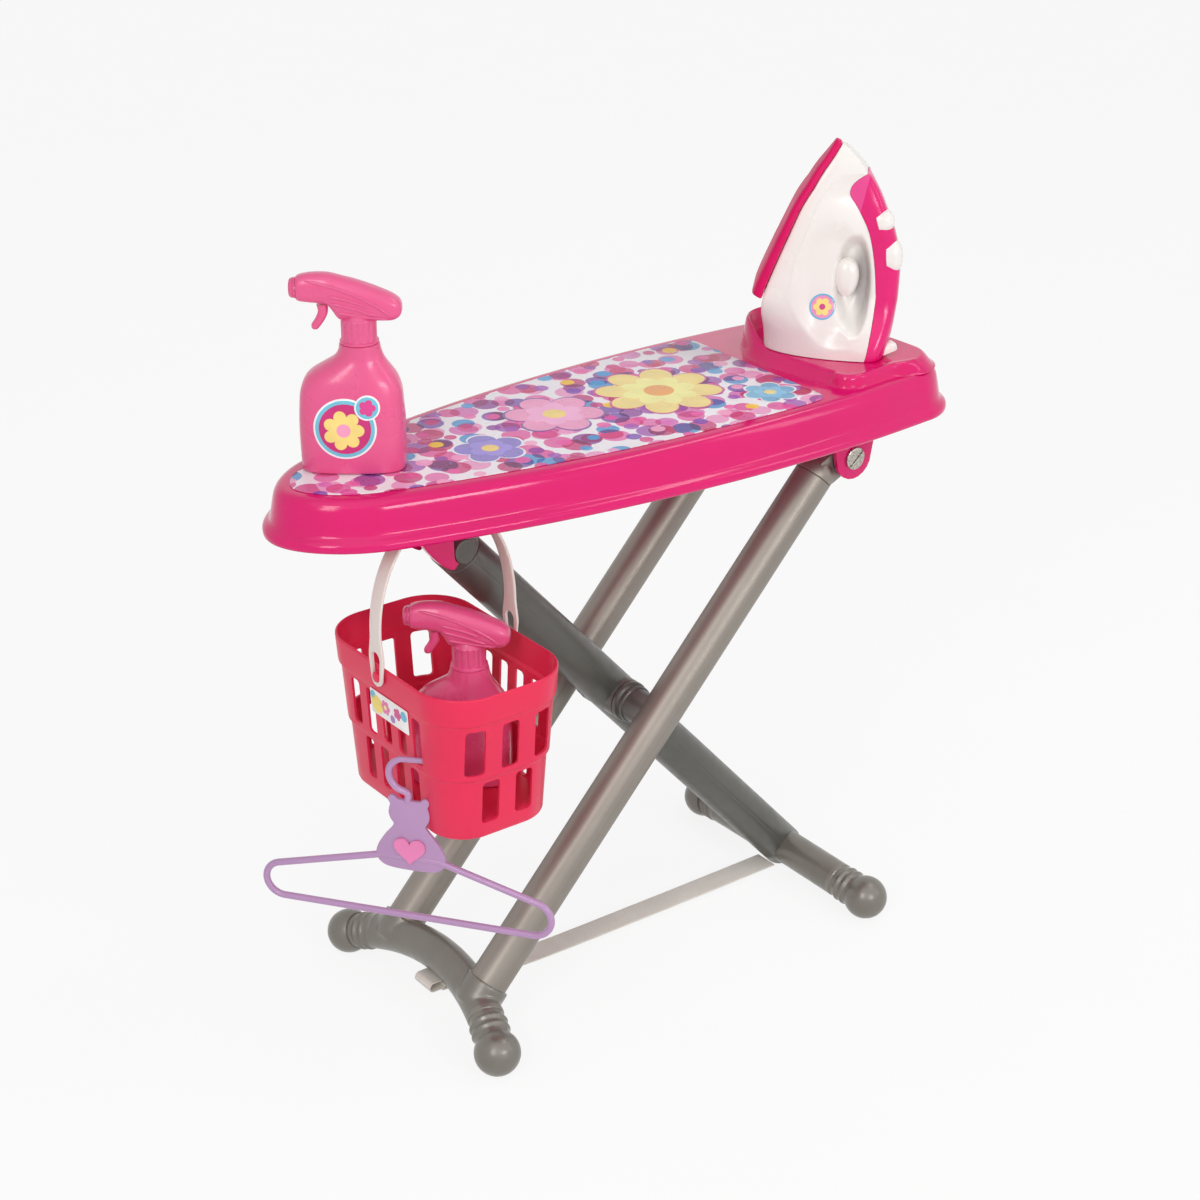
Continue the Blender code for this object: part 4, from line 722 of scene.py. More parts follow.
# Push buttons: height, way out to the back, half width, half height, lean in degrees
BUTTONS = (
    ("iron_button_spray", 0.109, 0.043, 0.0085, 0.009, 16),
    ("iron_button_steam", 0.081, 0.051, 0.0092, 0.0135, 4),
)
DIAL_AT = (0.0135, -0.0078, 0.063)
DIAL_SIZE = (0.0098, 0.0158, 0.0084)
DIAL_EGG = 9.0
GUARD_AT = (0.046, -0.012, 0.005)
GUARD_SIZE = (0.0104, 0.0066, 0.0062)
IRON_TAPER = 2.2
TIP_BLUNT = 0.012
TIP_NARROW = 0.7
WAIST = 0.8
FOOT_SHRINK = (0.975, 0.95)
RING_CROWD = 0.35
FLANK_ROUND = 3.2
FLANK_EDGE = 0.92
FLANK_SWELL = 0.1
FLANK_BELLY = 0.0022
HEEL_EDGE = 0.04
HEEL_POWER = 0.62
SPINE_TAPER = 0.35
SPINE_POWER = 0.62
SPINE_HEEL = 0.25
SOLE_WIDER = 1.06
SOLE_BLUNT = 0.02
SOLE_THINNER = 0.4
SOLE_EDGE = (0.42, 0.34)
SOLE_CROWN = 0.1
SOLE_LEAN = 0.45
# Rings that close the sole's tip: lift and size
SOLE_TIP = ((0.0008, 0.86), (0.0014, 0.6), (0.0017, 0.25))
# Hollows of the iron's side: middle, half size, depth, softness. The grip's is shorter to the back
DISH = ((0.002, 0.0595), (0.029, 0.0545), 0.0042, 0.4)
GRIP = ((0.0215, 0.06), (0.019, 0.042), 0.0122, 0.36)
GRIP_BACK = ((0.0215, 0.06), (0.0118, 0.042), 0.0122, 0.36)
# The step round the cheek: middle and half size of its oval, depth, softness, and the raised line beside it
CHEEK = ((0.72, 0.083), (0.52, 0.0735))
CHEEK_STEP = 0.0007
CHEEK_SOFT = 0.03
CHEEK_LINE = 0.0006
CHEEK_LINE_AT = 1.02
CHEEK_LINE_W = 0.018
CHEEK_FADE = 0.015
# Rows of the side profile: height, sole side, seam of the handle, back
IRON_ROWS = (
    (0.0, -0.05, 0.03, 0.0455), (0.003, -0.0514, 0.0318, 0.0478), (0.02, -0.0518, 0.0346, 0.0515),
    (0.038, -0.053, 0.0368, 0.054), (0.052, -0.051, 0.0374, 0.0552), (0.078, -0.0414, 0.035, 0.0552),
    (0.101, -0.032, 0.03, 0.05), (0.12, -0.024, 0.0208, 0.0425), (0.13, -0.0186, 0.0142, 0.0382),
    (0.137, -0.0142, 0.0146, 0.0345), (0.143, -0.011, 0.0196, 0.0312), (0.148, -0.008, 0.0268, 0.028),
)
# Rows of its tip: height, sole side, back
IRON_TIP = (
    (0.15, -0.0068, 0.0264), (0.156, -0.0026, 0.0213), (0.162, 0.0014, 0.016), (0.1665, 0.0042, 0.0112),
    (0.169, 0.0058, 0.008),
)


def iron_egg(z):
    """One at the egg-shaped heel, nought where the sole plate begins."""
    return 1 - ease(z / HEEL_RISE)


def iron_half(z):
    return IRON_HALF * math.sqrt(max(TIP_BLUNT, 1 - (z / IRON_HEIGHT) ** IRON_TAPER))


def seam_half(z):
    egg = iron_egg(z)
    return egg * HEEL_HALF + (1 - egg) * SPINE_HALF * (1 - SPINE_TAPER * (z / IRON_HEIGHT) ** 2)


def oval(u, w, middle, half):
    return math.hypot((u - middle[0]) / half[0], (w - middle[1]) / half[1])


def sunk(u, w, middle, half, depth, soft):
    """Depth of an oval hollow at a place on the iron's side."""
    return depth * ease(1 - oval(u, w, middle, half), 0.0, soft)


def iron_hollow(u, w, share):
    """Depth below the iron's plain side: dish, grip and the moulded step round the cheek."""
    grip = GRIP_BACK if u > GRIP_BACK[0][0] else GRIP
    cheek = oval(share, w, *CHEEK)
    step = CHEEK_STEP * ease(1 - cheek, 0.0, CHEEK_SOFT)
    line = CHEEK_LINE * math.exp(-((cheek - CHEEK_LINE_AT) / CHEEK_LINE_W) ** 2)
    edge = (step - line) * (1 - share) * ease(CHEEK_TOP - w, 0.0, CHEEK_FADE)
    return sunk(u, w, *DISH) + sunk(u, w, *grip) + edge


def iron_ring(z, left, right, narrow):
    """A level section of the white shell: near side from sole to seam, then back along the far side."""
    egg = iron_egg(z)
    half = iron_half(z)
    near = []
    for i in range(RING_STEPS + 1):
        share = ease(i / RING_STEPS) * RING_CROWD + (i / RING_STEPS) * (1 - RING_CROWD)
        u = left + (right - left) * share
        swell = math.sqrt(max(0.0, 1 - (1 - min(share * FLANK_ROUND, 1.0)) ** 2))
        flank = half * (FLANK_EDGE + FLANK_SWELL * swell) * (1 - share) + narrow * share
        flank += FLANK_BELLY * math.sin(math.pi * share) * (1 - z / IRON_HEIGHT)
        heel = HEEL_HALF * (HEEL_EDGE + (1 - HEEL_EDGE) * (1 - (1 - share) ** 2) ** HEEL_POWER)
        near.append((u, egg * heel + (1 - egg) * flank - iron_hollow(u, z, share)))
    return [Vector((u, -v, z)) for u, v in near] + [Vector((u, v, z)) for u, v in reversed(near)]


def shell_finish():
    """The iron's white with painted shade: a little greyer down in the grip's deep hollow, where shadow
    falls.
    """
    look = Look("gloss_white_shell_painted_shade", 0.24, coat_weight=0.3, coat_roughness=0.08)
    spot = look.node("ShaderNodeSeparateXYZ", Vector=look.place)
    squares = []
    for axis, middle, half in (("X", 0.0262, 0.0105), ("Z", 0.06, 0.04)):
        off = look.maths("DIVIDE", look.maths("SUBTRACT", spot.outputs[axis], middle), half)
        squares.append(look.maths("MULTIPLY", off, off))
    # Painted shade: the white runs to grey towards the middle of the grip's hollow, standing in for its
    # shadow
    hollow = look.between(look.maths("SQRT", look.maths("ADD", *squares)), 0.35, 1.0, 0.85, 0.0)
    unshaded_white = look.clouds(look.noise(14.0, 3.0), 0.3, srgb(240, 235, 230), srgb(245, 240, 235))
    look.colour(look.mix(hollow, unshaded_white, srgb(182, 177, 175)))
    look.gloss(look.noise(46.0, 3.0), 0.3, 0.2, 0.29)
    look.bump(look.noise(40.0, 1.0), 0.006, 0.0008)
    return look.material


def make_iron_body(rows):
    rings = []
    for z, white, seam, _ in rows:
        waist = max(iron_half(z) * WAIST, seam_half(z) * iron_egg(z))
        rings.append(iron_ring(z, white, seam - GAP, min(seam_half(z), waist)))
    foot = [Vector((p.x * FOOT_SHRINK[0], p.y * FOOT_SHRINK[1], 0.0)) for p in rings[0]]
    for ring in rings[:3]:
        for p in ring:
            p.z = max(p.z, FOOT_EDGE)
    for z, left, right in smooth_path(IRON_TIP, 4):
        rings.append(iron_ring(z, left, right, iron_half(z) * TIP_NARROW))
    finish = (shell_finish(), "white")
    return piece("iron_shell", loft([foot] + rings), finish, "iron", ["iron_body"], IRON_PLACE)


def make_iron_sole(rows):
    """The sole plate, seen as a band along the iron's front."""
    rings = []
    for row in [r for r in rows if r[0] > SOLE_FROM] + list(IRON_TIP):
        z, u = row[:2]
        share = (z - SOLE_FROM) / (IRON_HEIGHT - SOLE_FROM)
        half = IRON_HALF * SOLE_WIDER * math.sqrt(max(SOLE_BLUNT, 1 - share ** 2))
        thick = SOLE_T * (1 - SOLE_THINNER * share)
        ring = []
        for angle in turns(40):
            off = GAP + thick / 2 * (1 - bulge(math.cos(angle), SOLE_EDGE[0]))
            wide = bulge(math.sin(angle), SOLE_EDGE[1]) * half * (1 - SOLE_CROWN * (off / thick) ** 2)
            ring.append(Vector((u - off, wide, z + off * SOLE_LEAN)))
        rings.append(ring)
    end = rings[-1]
    middle = sum(end, Vector()) / len(end)
    for lift, grow in SOLE_TIP:
        rings.append([middle + (p - middle) * grow + UP * lift for p in end])
    piece("iron_soleplate", loft(rings), SOLE, "iron", ["iron_sole"], IRON_PLACE)


def grip_finish():
    """The handle's magenta, with the lobe at its upper inner end painted paler: partly its own lighter tone,
    partly a painted highlight for the light on its facet.
    """
    look = Look("gloss_magenta_grip", 0.2, coat_weight=0.25, coat_roughness=0.08, specular_IOR_level=0.32)
    spot = look.node("ShaderNodeSeparateXYZ", Vector=look.place)
    across, along = spot.outputs["X"], spot.outputs["Z"]
    limit = look.maths("ADD", look.maths("MULTIPLY", along, LOBE_LEAN), LOBE_EDGE)
    inner = look.between(look.maths("SUBTRACT", across, limit), -0.0006, 0.0006, 1.0, 0.0)
    upper = look.between(along, 0.112, 0.118, 0.0, 1.0)
    cloud = look.between(look.noise(16.0, 4.0), 0.32, 0.68, 0.0, 1.0)
    deep = look.mix(cloud, srgb(222, 8, 110), srgb(232, 14, 118))
    # Paler pink of the lobe: partly its own tone, partly a painted highlight
    pale = look.mix(cloud, srgb(230, 62, 140), srgb(238, 78, 150))
    look.colour(look.mix(look.maths("MULTIPLY", inner, upper), deep, pale))
    look.gloss(look.noise(40.0, 3.0), 0.2, 0.17, 0.25)
    look.bump(look.noise(34.0, 1.0), 0.01, 0.001)
    return look.material


def make_iron_spine(rows):
    """The handle's coloured back."""
    rings = []
    for z, _, seam, back in rows:
        half = seam_half(z)
        power = SPINE_POWER + SPINE_HEEL * iron_egg(z)
        ring = []
        for i in range(SPINE_STEPS + 1):
            turn = math.pi * (i / SPINE_STEPS - 0.5)
            wide = half * bulge(math.sin(turn), power)
            ring.append(Vector((seam + (back - seam) * math.cos(turn) ** SPINE_POWER, wide, z)))
        rings.append(ring)
    piece("iron_grip", loft(rings), (grip_finish(), "pink"), "iron", ["iron_spine"], IRON_PLACE)


def pad(half_x, half_y, height, power, count=40):
    """A rounded push pad that stands up from its own XY plane."""
    rows = [(0.9, -0.3), (1.0, -0.25)]
    for degrees in range(0, 90, 8):
        turn = math.radians(degrees)
        rows.append((math.cos(turn) ** PAD_DOME, PAD_WALL + (1 - PAD_WALL) * math.sin(turn)))
    return loft([level(squared(half_x * grow, half_y * grow, power, count), height * z) for grow, z in rows])


def make_iron_controls():
    """Two push buttons on the back, a dial in the hollow and the cord's guard at the heel."""
    for name, z, x, half_w, half_h, lean in BUTTONS:
        press = IRON_PLACE @ Matrix.Translation((x - BUTTON_SINK, BUTTON_Y, z)) @ turned(90 - lean, "Y")
        piece(name + "_pad", pad(half_h, half_w, BUTTON_H, 2.3), WHITE, name, [name], press)
    dial = IRON_PLACE @ Matrix.Translation(DIAL_AT) @ turned(90, "X")
    knob = pad(*DIAL_SIZE, 2.1, 56)
    for vertex in knob.vertices:
        vertex.co.x *= 1 + DIAL_EGG * vertex.co.y
    piece("iron_dial_knob", knob, WHITE, "iron_dial", ["iron_dial"], dial)
    guard = IRON_PLACE @ at(GUARD_AT, math.radians(28)) @ turned(-14, "Y")
    piece("iron_cord_sleeve", pad(*GUARD_SIZE, 3.2), WHITE, "iron", ["iron_cord_guard"], guard)


iron_levels = smooth_path(IRON_ROWS, 12)
iron_shell = make_iron_body(iron_levels)
make_iron_sole(iron_levels)
make_iron_spine(iron_levels)
make_iron_controls()


# Spray bottles. In a bottle's own frame the nozzle points to -X and +Z is up
NECK_OFF = 0.0074
BOTTLE_NECK_Z = 0.094
COLLAR_R = 0.0128
HEAD_LOW = 0.1106
NECK_CONE = 0.004
RIDGE_R = 0.0012
RIDGE_SINK = 0.00015
COLLAR_SIDES = 192
COLLAR_FLUTES = 16
# Rows of the bottle: height, shift towards the neck, half width, half depth, squareness
BOTTLE_ROWS = (
    (0.0, 0.0, 0.035, 0.0188, 3.2), (0.0012, 0.0, 0.0368, 0.0205, 3.3),
    (0.004, 0.0, 0.0378, 0.0213, 3.4), (0.032, 0.0, 0.0382, 0.022, 3.4),
    (0.05, 0.0, 0.0374, 0.0214, 3.2), (0.0597, 0.0002, 0.0364, 0.0205, 3.0),
    (0.0677, 0.0006, 0.0336, 0.0193, 2.8), (0.073, 0.0016, 0.0296, 0.018, 2.6),
    (0.0783, 0.004, 0.0236, 0.0166, 2.3), (0.0836, 0.0066, 0.0179, 0.0152, 2.1),
    (0.0889, 0.0074, 0.0154, 0.0146, 2.0), (0.0928, 0.0074, 0.0147, 0.0145, 2.0),
)
# Rows of the spray head, from the nozzle back: along, underside, top, half width
HEAD_ROWS = (
    (-0.0355, 0.1256, 0.1426, 0.0074), (-0.033, 0.1246, 0.1438, 0.008), (-0.027, 0.1238, 0.145, 0.0084),
    (-0.02, 0.1232, 0.1454, 0.0089), (-0.014, 0.122, 0.1451, 0.0094), (-0.0105, 0.118, 0.1445, 0.0098),
    (-0.0075, 0.1132, 0.1438, 0.0101), (-0.004, 0.111, 0.1428, 0.0104), (0.005, 0.1107, 0.1404, 0.0107),
    (0.015, 0.1107, 0.137, 0.0107), (0.024, 0.1107, 0.1334, 0.0103), (0.031, 0.1109, 0.1302, 0.0096),
    (0.0352, 0.1124, 0.1276, 0.0084), (0.0376, 0.1146, 0.1252, 0.0066), (0.0387, 0.1172, 0.1226, 0.004),
)
HEAD_SQUARE = 2.7
TRIGGER_LINE = ((-0.018, 0.1222), (-0.0176, 0.1165), (-0.0205, 0.1103), (-0.0252, 0.104))
# Ridges on the head's sides, along and up
RIDGES = (
    ("long", ((-0.029, 0.1408), (-0.0196, 0.1396), (-0.0057, 0.1358), (0.0082, 0.1304), (0.0222, 0.1228),
              (0.031, 0.1158))),
    ("upper", ((-0.0125, 0.1306), (0.003, 0.1272), (0.016, 0.1226))),
    ("middle", ((-0.0112, 0.1256), (0.006, 0.1214), (0.0215, 0.1162))),
    ("lower", ((-0.0078, 0.1186), (0.01, 0.1158), (0.0285, 0.1132))),
)
NOZZLE_Z = 0.1341
NOZZLE_PROFILE = [
    (0.0, 0.003), (0.0012, 0.0032), (0.0015, 0.0048), (0.004, 0.0052), (0.0056, 0.005), (0.0067, 0.0043),
    (0.0072, 0.0032), (0.0074, 0.0022), (0.007, 0.0019), (0.0074, 0.0016), (0.0078, 0.0006), (0.0076, 0.0),
]


def make_bottle(prefix, here):
    rings = [level([(x + shift, y) for x, y in squared(wide, deep, power, 72)], z)
             for z, shift, wide, deep, power in smooth_path(BOTTLE_ROWS, 5)]
    top = BOTTLE_NECK_Z
    for radius, z in ((0.0143, top - 0.0003), (0.0137, top), (0.0102, top), (0.01, top + 0.0005),
                      (0.01, HEAD_LOW - 0.004)):
        rings.append(level([(x + NECK_OFF, y) for x, y in circle(radius, 72)], z))
    return piece(prefix + "_bottle_moulding", loft(rings), ROSE, prefix, [prefix + "_bottle"], here)


def collar_ring(radius, z, flute):
    points = []
    for angle in turns(COLLAR_SIDES):
        reach = radius - flute * (0.5 + 0.5 * math.cos(COLLAR_FLUTES * angle)) ** 3
        points.append(Vector((reach * math.cos(angle), reach * math.sin(angle), z)))
    return points


def make_collar(prefix, here):
    """The ribbed collar that clamps the head on, with a cone up into the head."""
    base = BOTTLE_NECK_Z + GAP
    height = HEAD_LOW + 0.0022 - base
    rows = ((0.0103, 0.0, 0), (0.0136, 0.0, 0), (0.0141, 0.0004, 0), (0.0141, 0.0014, 0), (0.0136, 0.0019, 0),
            (COLLAR_R, 0.0023, 0), (COLLAR_R, 0.003, 0.0003), (COLLAR_R, 0.004, 0.0007),
            (COLLAR_R, height - 0.0024, 0.0007), (COLLAR_R, height - 0.0014, 0.0002),
            (COLLAR_R - 0.0002, height - 0.0006, 0), (COLLAR_R - 0.0009, height, 0),
            (COLLAR_R - 0.0034, height + NECK_CONE, 0), (0.008, height + NECK_CONE, 0))
    mesh = loft([collar_ring(*row) for row in rows], closed=True)
    place = here @ Matrix.Translation((NECK_OFF, 0, base))
    piece(prefix + "_collar_ribbed", mesh, ROSE, prefix, [prefix + "_collar"], place)


def head_side(x, z):
    """Half width of the spray head at a place along it and a height."""
    for front, rear in zip(HEAD_ROWS, HEAD_ROWS[1:]):
        if x <= rear[0]:
            break
    _, low, top, half = mixed(front, rear, (x - front[0]) / (rear[0] - front[0]))
    share = min(abs(z - (low + top) / 2) / ((top - low) / 2), 0.999)
    return half * (1 - share ** HEAD_SQUARE) ** (1 / HEAD_SQUARE)


def ridge_section(share):
    return circle(RIDGE_R * min(1.0, 0.25 + 6 * min(share, 1 - share)), 12)


def make_spray_head(prefix, here):
    rings = []
    for x, low, top, half in smooth_path(HEAD_ROWS, 5):
        outline = squared(half, (top - low) / 2, HEAD_SQUARE, 56)
        rings.append([Vector((x, y, (low + top) / 2 + z)) for y, z in outline])
    piece(prefix + "_head_moulding", loft(rings), ROSE, prefix, [prefix + "_head"], here)
    for word, line in RIDGES:
        for side, hand in HANDS:
            path = [Vector((x, side * (head_side(x, z) - RIDGE_SINK), z)) for x, z in smooth_path(line, 8)]
            name = "_".join((prefix, "ridge", word, hand))
            piece(name, sweep(path, ridge_section), ROSE, prefix, world=here)


def trigger_section(share):
    blunt = min(1.0, 0.45 + 5 * (1 - share))
    return squared(0.0042 * (1 - 0.15 * share) * blunt, (0.004 - 0.0012 * share) * blunt, 2.6, 28)


def make_sprayer(prefix, base, yaw):
    here = at(base, yaw)
    bottle = make_bottle(prefix, here)
    make_collar(prefix, here)
    make_spray_head(prefix, here)
    nozzle, trigger = prefix + "_nozzle", prefix + "_trigger"
    spin = here @ aim(Vector((HEAD_ROWS[0][0] - GAP, 0, NOZZLE_Z)), -ALONG)
    piece(nozzle + "_cap", lathe(NOZZLE_PROFILE, 48), ROSE, nozzle, [nozzle], spin)
    path = [Vector((x, 0, z)) for x, z in smooth_path(TRIGGER_LINE, 8)]
    piece(trigger + "_crook", sweep(path, trigger_section), ROSE, trigger, [trigger], here)
    return bottle


bottle = make_sprayer("sprayer", (-0.2232, 0.0126, BOARD_TOP + SHEET_T + 2 * GAP), math.radians(-37.0))
make_sprayer("basket_sprayer", (-0.1755, -0.046, 0.2318), math.radians(-40.0))


# Legs and feet
FOOT_X = 0.1925
BALL_R = 0.0186
BALL_Z = 0.0182
BALL_NECK = 0.03
BAR_R = 0.015
RING_SHARES = (0.56, 0.78)
RING_RISE = 0.0016
FOOT_HALF = {"a": 0.1103, "b": 0.1109}
FOOT_ARCH = {"a": 0.032, "b": 0.008}
LEG_ANGLE = {"a": math.radians(47.5), "b": math.radians(48.2)}
LEG_AXIS = {"a": Vector((math.cos(LEG_ANGLE["a"]), 0, math.sin(LEG_ANGLE["a"]))),
            "b": Vector((-math.cos(LEG_ANGLE["b"]), 0, math.sin(LEG_ANGLE["b"])))}
LEG_FOOT = {"a": Vector((-FOOT_X, 0, BALL_Z)), "b": Vector((FOOT_X, 0, BALL_Z))}
TUBE_R = 0.016
TUBE_Y = 0.0602
TUBE_TOP = 0.52
TUBE_SEAT = FOOT_ARCH["a"] * (1 - (TUBE_Y / FOOT_HALF["a"]) ** 2)
SOCKET_R = 0.0182
SOCKET_DEPTH = 0.016
POST_R = 0.0184
POST_TAIL = 0.012
POST_TOP = 0.5032
SLEEVE_R = 0.014
BOSS_R = 0.017
BOSS_PROUD = 0.002
SEAM_DEPTH = 0.00012
SEAM_HALF = math.radians(1.6)
SLOPE_A, SLOPE_B = math.tan(LEG_ANGLE["a"]), math.tan(LEG_ANGLE["b"])
CROSS_X = FOOT_X * (SLOPE_B - SLOPE_A) / (SLOPE_A + SLOPE_B)
CROSS = Vector((CROSS_X, 0, BALL_Z + (CROSS_X + FOOT_X) * SLOPE_A))
STRAP_W = 0.0225
STRAP_T = 0.0014
STRAP_LOW = 0.0085
STRAP_LOOP_L = 0.0085
STRAP_LOOP_H = 0.0045
STRAP_LOOP_TURN = math.radians(22)
BALL_TURN = 124
BALL_STEPS = 26
NECK_STEPS = 60
RING_WIDTH = 0.0021
BAR_STEPS = 48
MELD_GRAIN = 0.001
MELD_ROUNDS = 10


def on_leg(leg, along, y=0.0):
    return LEG_FOOT[leg] + LEG_AXIS[leg] * along + SIDE * y


def bar_line(leg, trim):
    """Middle line of a foot bar: an arch in its leg's own plane."""
    half, arch = FOOT_HALF[leg], FOOT_ARCH[leg]
    reach = half - trim
    ys = [-reach + 2 * reach * i / BAR_STEPS for i in range(BAR_STEPS + 1)]
    return [on_leg(leg, arch * (1 - (y / half) ** 2), y) for y in ys]


def melded(meshes):
    """Closed meshes run together into one, with a soft fillet where they meet."""
    work = bmesh.new()
    for mesh in meshes:
        work.from_mesh(mesh)
    body = shown("melded", to_mesh(work))
    grid = body.modifiers.new("grid", "REMESH")
    grid.mode = "VOXEL"
    grid.voxel_size = MELD_GRAIN
    soften = body.modifiers.new("soften", "SMOOTH")
    soften.factor = 0.5
    soften.iterations = MELD_ROUNDS
    return baked(body)


def tube_socket(y):
    """Short collar on foot bar A that takes a tube's end."""
    low, high = -SOCKET_DEPTH / 2, SOCKET_DEPTH
    wide = SOCKET_R + 0.0004
    collar = lathe([(SOCKET_R * 0.7, low), (SOCKET_R * 0.9, low + 0.002), (wide, 0.0), (wide, high)], 64)
    collar.transform(aim(on_leg("a", TUBE_SEAT, y), LEG_AXIS["a"]))
    return collar


def foot_ball(place, low):
    """A ball behind two turned rings, flattened on the floor. Low is where the bar ends."""
    neck = BALL_R * math.cos(math.radians(BALL_TURN))
    angles = [math.radians(BALL_TURN * k / BALL_STEPS) for k in range(BALL_STEPS + 1)]
    profile = [(BALL_R * math.sin(a), BALL_R * math.cos(a)) for a in angles]
    for k in range(1, NECK_STEPS + 1):
        z = neck + (low - neck) * k / NECK_STEPS
        rings = sum(math.exp(-((z - low * share) / RING_WIDTH) ** 2) for share in RING_SHARES)
        profile.append((BAR_R * 0.95 + RING_RISE * rings, z))
    profile += [(BAR_R, low - 0.0008), (BAR_R, low - 0.004)]
    mesh = lathe(profile, 64)
    back = place.inverted()
    for vertex in mesh.vertices:
        spot = place @ vertex.co
        if spot.z < 0:
            vertex.co = back @ Vector((spot.x, spot.y, 0.0))
    return mesh


def make_feet(leg):
    """A foot bar with its two balls."""
    body = "leg_" + leg
    bar = "foot_bar_" + leg
    line = bar_line(leg, BALL_NECK)
    parts = [sweep(line, circle(BAR_R, 48), up=LEG_AXIS[leg])]
    if leg == "a":
        parts += [tube_socket(side * TUBE_Y) for side, _ in HANDS]
    piece(bar + "_moulding", melded(parts), WARM_GREY, body, [bar], crease=180)
    for (side, hand), end in zip(HANDS, (line[0], line[-1])):
        centre = on_leg(leg, 0, side * FOOT_HALF[leg])
        place = aim(centre, (centre - end).normalized())
        name = "_".join(("foot_ball", leg, hand))
        mesh = foot_ball(place, -(centre - end).length)
        piece(name + "_moulding", mesh, WARM_GREY, body, [name], place)


def make_leg_a():
    """Two silver tubes, and a ringed sleeve from each to the post."""
    length = TUBE_TOP - TUBE_SEAT - GAP
    tube = [(TUBE_R - 0.0004, 0.0), (TUBE_R, 0.0004)]
    tube += [(TUBE_R, length * k / 12) for k in range(1, 12)]
    tube += [(TUBE_R, length - 0.0005), (TUBE_R - 0.0005, length)]
    start = POST_R + BOSS_PROUD + 0.0004
    reach = TUBE_Y - TUBE_R * 0.45 - start
    sleeve = [(BOSS_R - 0.001, 0.0), (BOSS_R - 0.0003, 0.0004), (BOSS_R, 0.0012), (BOSS_R, 0.0034),
              (BOSS_R - 0.0004, 0.0042), (SLEEVE_R + 0.0007, 0.0048), (SLEEVE_R, 0.0056), (SLEEVE_R, 0.0076),
              (SLEEVE_R + 0.0006, 0.0082), (SLEEVE_R + 0.0016, 0.0088), (SLEEVE_R + 0.0018, 0.0098),
              (SLEEVE_R + 0.0014, 0.0108), (SLEEVE_R + 0.0003, 0.0114), (SLEEVE_R, 0.0122), (SLEEVE_R, reach)]
    for side, hand in HANDS:
        place = aim(on_leg("a", TUBE_SEAT + GAP, side * TUBE_Y), LEG_AXIS["a"])
        piece("silver_tube_" + hand, lathe(tube, 72), SILVER, "leg_a", ["leg_tube_" + hand], place)
        place = aim(Vector((CROSS.x, side * start, CROSS.z)), SIDE * side)
        piece("ringed_sleeve_" + hand, lathe(sleeve, 64), DARK_GREY, "leg_a", ["cross_sleeve_" + hand], place)


def post_ring(radius, z, seam):
    """A round section with a narrow groove at each side, where the moulding's halves meet."""
    points = []
    for half in (0, 1):
        turn = math.pi * half
        points += [(turn - SEAM_HALF, 0.0), (turn - SEAM_HALF * 0.4, seam), (turn + SEAM_HALF * 0.4, seam)]
        points += [(turn + SEAM_HALF + (math.pi - 2 * SEAM_HALF) * k / 36, 0.0) for k in range(36)]
    return [Vector(((radius - dip) * math.cos(a), (radius - dip) * math.sin(a), z)) for a, dip in points]


def make_leg_b():
    """The post and, at the crossing, a boss on each of its sides."""
    low = FOOT_ARCH["b"] - POST_TAIL
    length = POST_TOP - low
    rows = [(POST_R - 0.005, 0.0, 0.0), (POST_R - 0.0022, 0.0005, 0.0), (POST_R - 0.0007, 0.0018, SEAM_DEPTH),
            (POST_R, 0.0042, SEAM_DEPTH)]
    rows += [(POST_R, length * k / 10, SEAM_DEPTH) for k in range(1, 10)]
    rows += [(POST_R, length - 0.0012, SEAM_DEPTH), (POST_R - 0.0004, length - 0.0004, SEAM_DEPTH),
             (POST_R - 0.0012, length, 0.0)]
    place = aim(on_leg("b", low), LEG_AXIS["b"])
    piece("post_moulding", loft([post_ring(*row) for row in rows]), DARK_GREY, "leg_b", ["leg_post"], place)
    boss = [(BOSS_R, POST_R * -0.6), (BOSS_R, BOSS_PROUD - 0.0012), (BOSS_R - 0.0004, BOSS_PROUD - 0.0003),
            (BOSS_R - 0.0012, BOSS_PROUD)]
    for side, hand in HANDS:
        place = aim(Vector((CROSS.x, side * POST_R, CROSS.z)), SIDE * side)
        piece("post_boss_" + hand, lathe(boss, 64), DARK_GREY, "leg_b", world=place)


def make_strap():
    """Woven strap between the feet, and its folded end under foot bar A."""
    bar = on_leg("a", FOOT_ARCH["a"])
    reach = BAR_R + 2 * GAP + STRAP_LOOP_H
    rear = bar + Vector((-math.sin(STRAP_LOOP_TURN), 0, -math.cos(STRAP_LOOP_TURN))) * reach
    centre = rear - ALONG * (STRAP_LOOP_L - STRAP_LOOP_H)
    middle = STRAP_T / 2
    tape = rounded_box(STRAP_W / 2, middle, STRAP_T * 0.42, 4)
    fold = rounded_box(STRAP_LOOP_L - middle, STRAP_LOOP_H - middle, (STRAP_LOOP_H - middle) * 0.98, 14)
    loop = [centre + Vector((x, 0, z)) for x, z in fold]
    end_loop = piece("strap_fold", sweep(loop, tape, closed=True), WEBBING, "leg_a", ["strap_loop"])

    start = centre + Vector((STRAP_LOOP_L / 2, 0, -STRAP_LOOP_H - STRAP_T / 2 - GAP))
    under = Vector((-LEG_AXIS["b"].z, 0, LEG_AXIS["b"].x))
    end = on_leg("b", FOOT_ARCH["b"] - POST_TAIL + POST_R / 2) + under * (POST_R + STRAP_T)
    mid_a = Vector((start.x * 0.5, 0, STRAP_LOW + STRAP_T))
    mid_b = Vector((end.x * 0.3, 0, STRAP_LOW))
    path = smooth_path([start, mid_a, mid_b, end], 40)
    strap = piece("strap_webbing", sweep(path, tape), WEBBING, "leg_a", ["foot_strap"])
    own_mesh(strap)


make_feet("a")
make_feet("b")
make_leg_a()
make_leg_b()
make_strap()


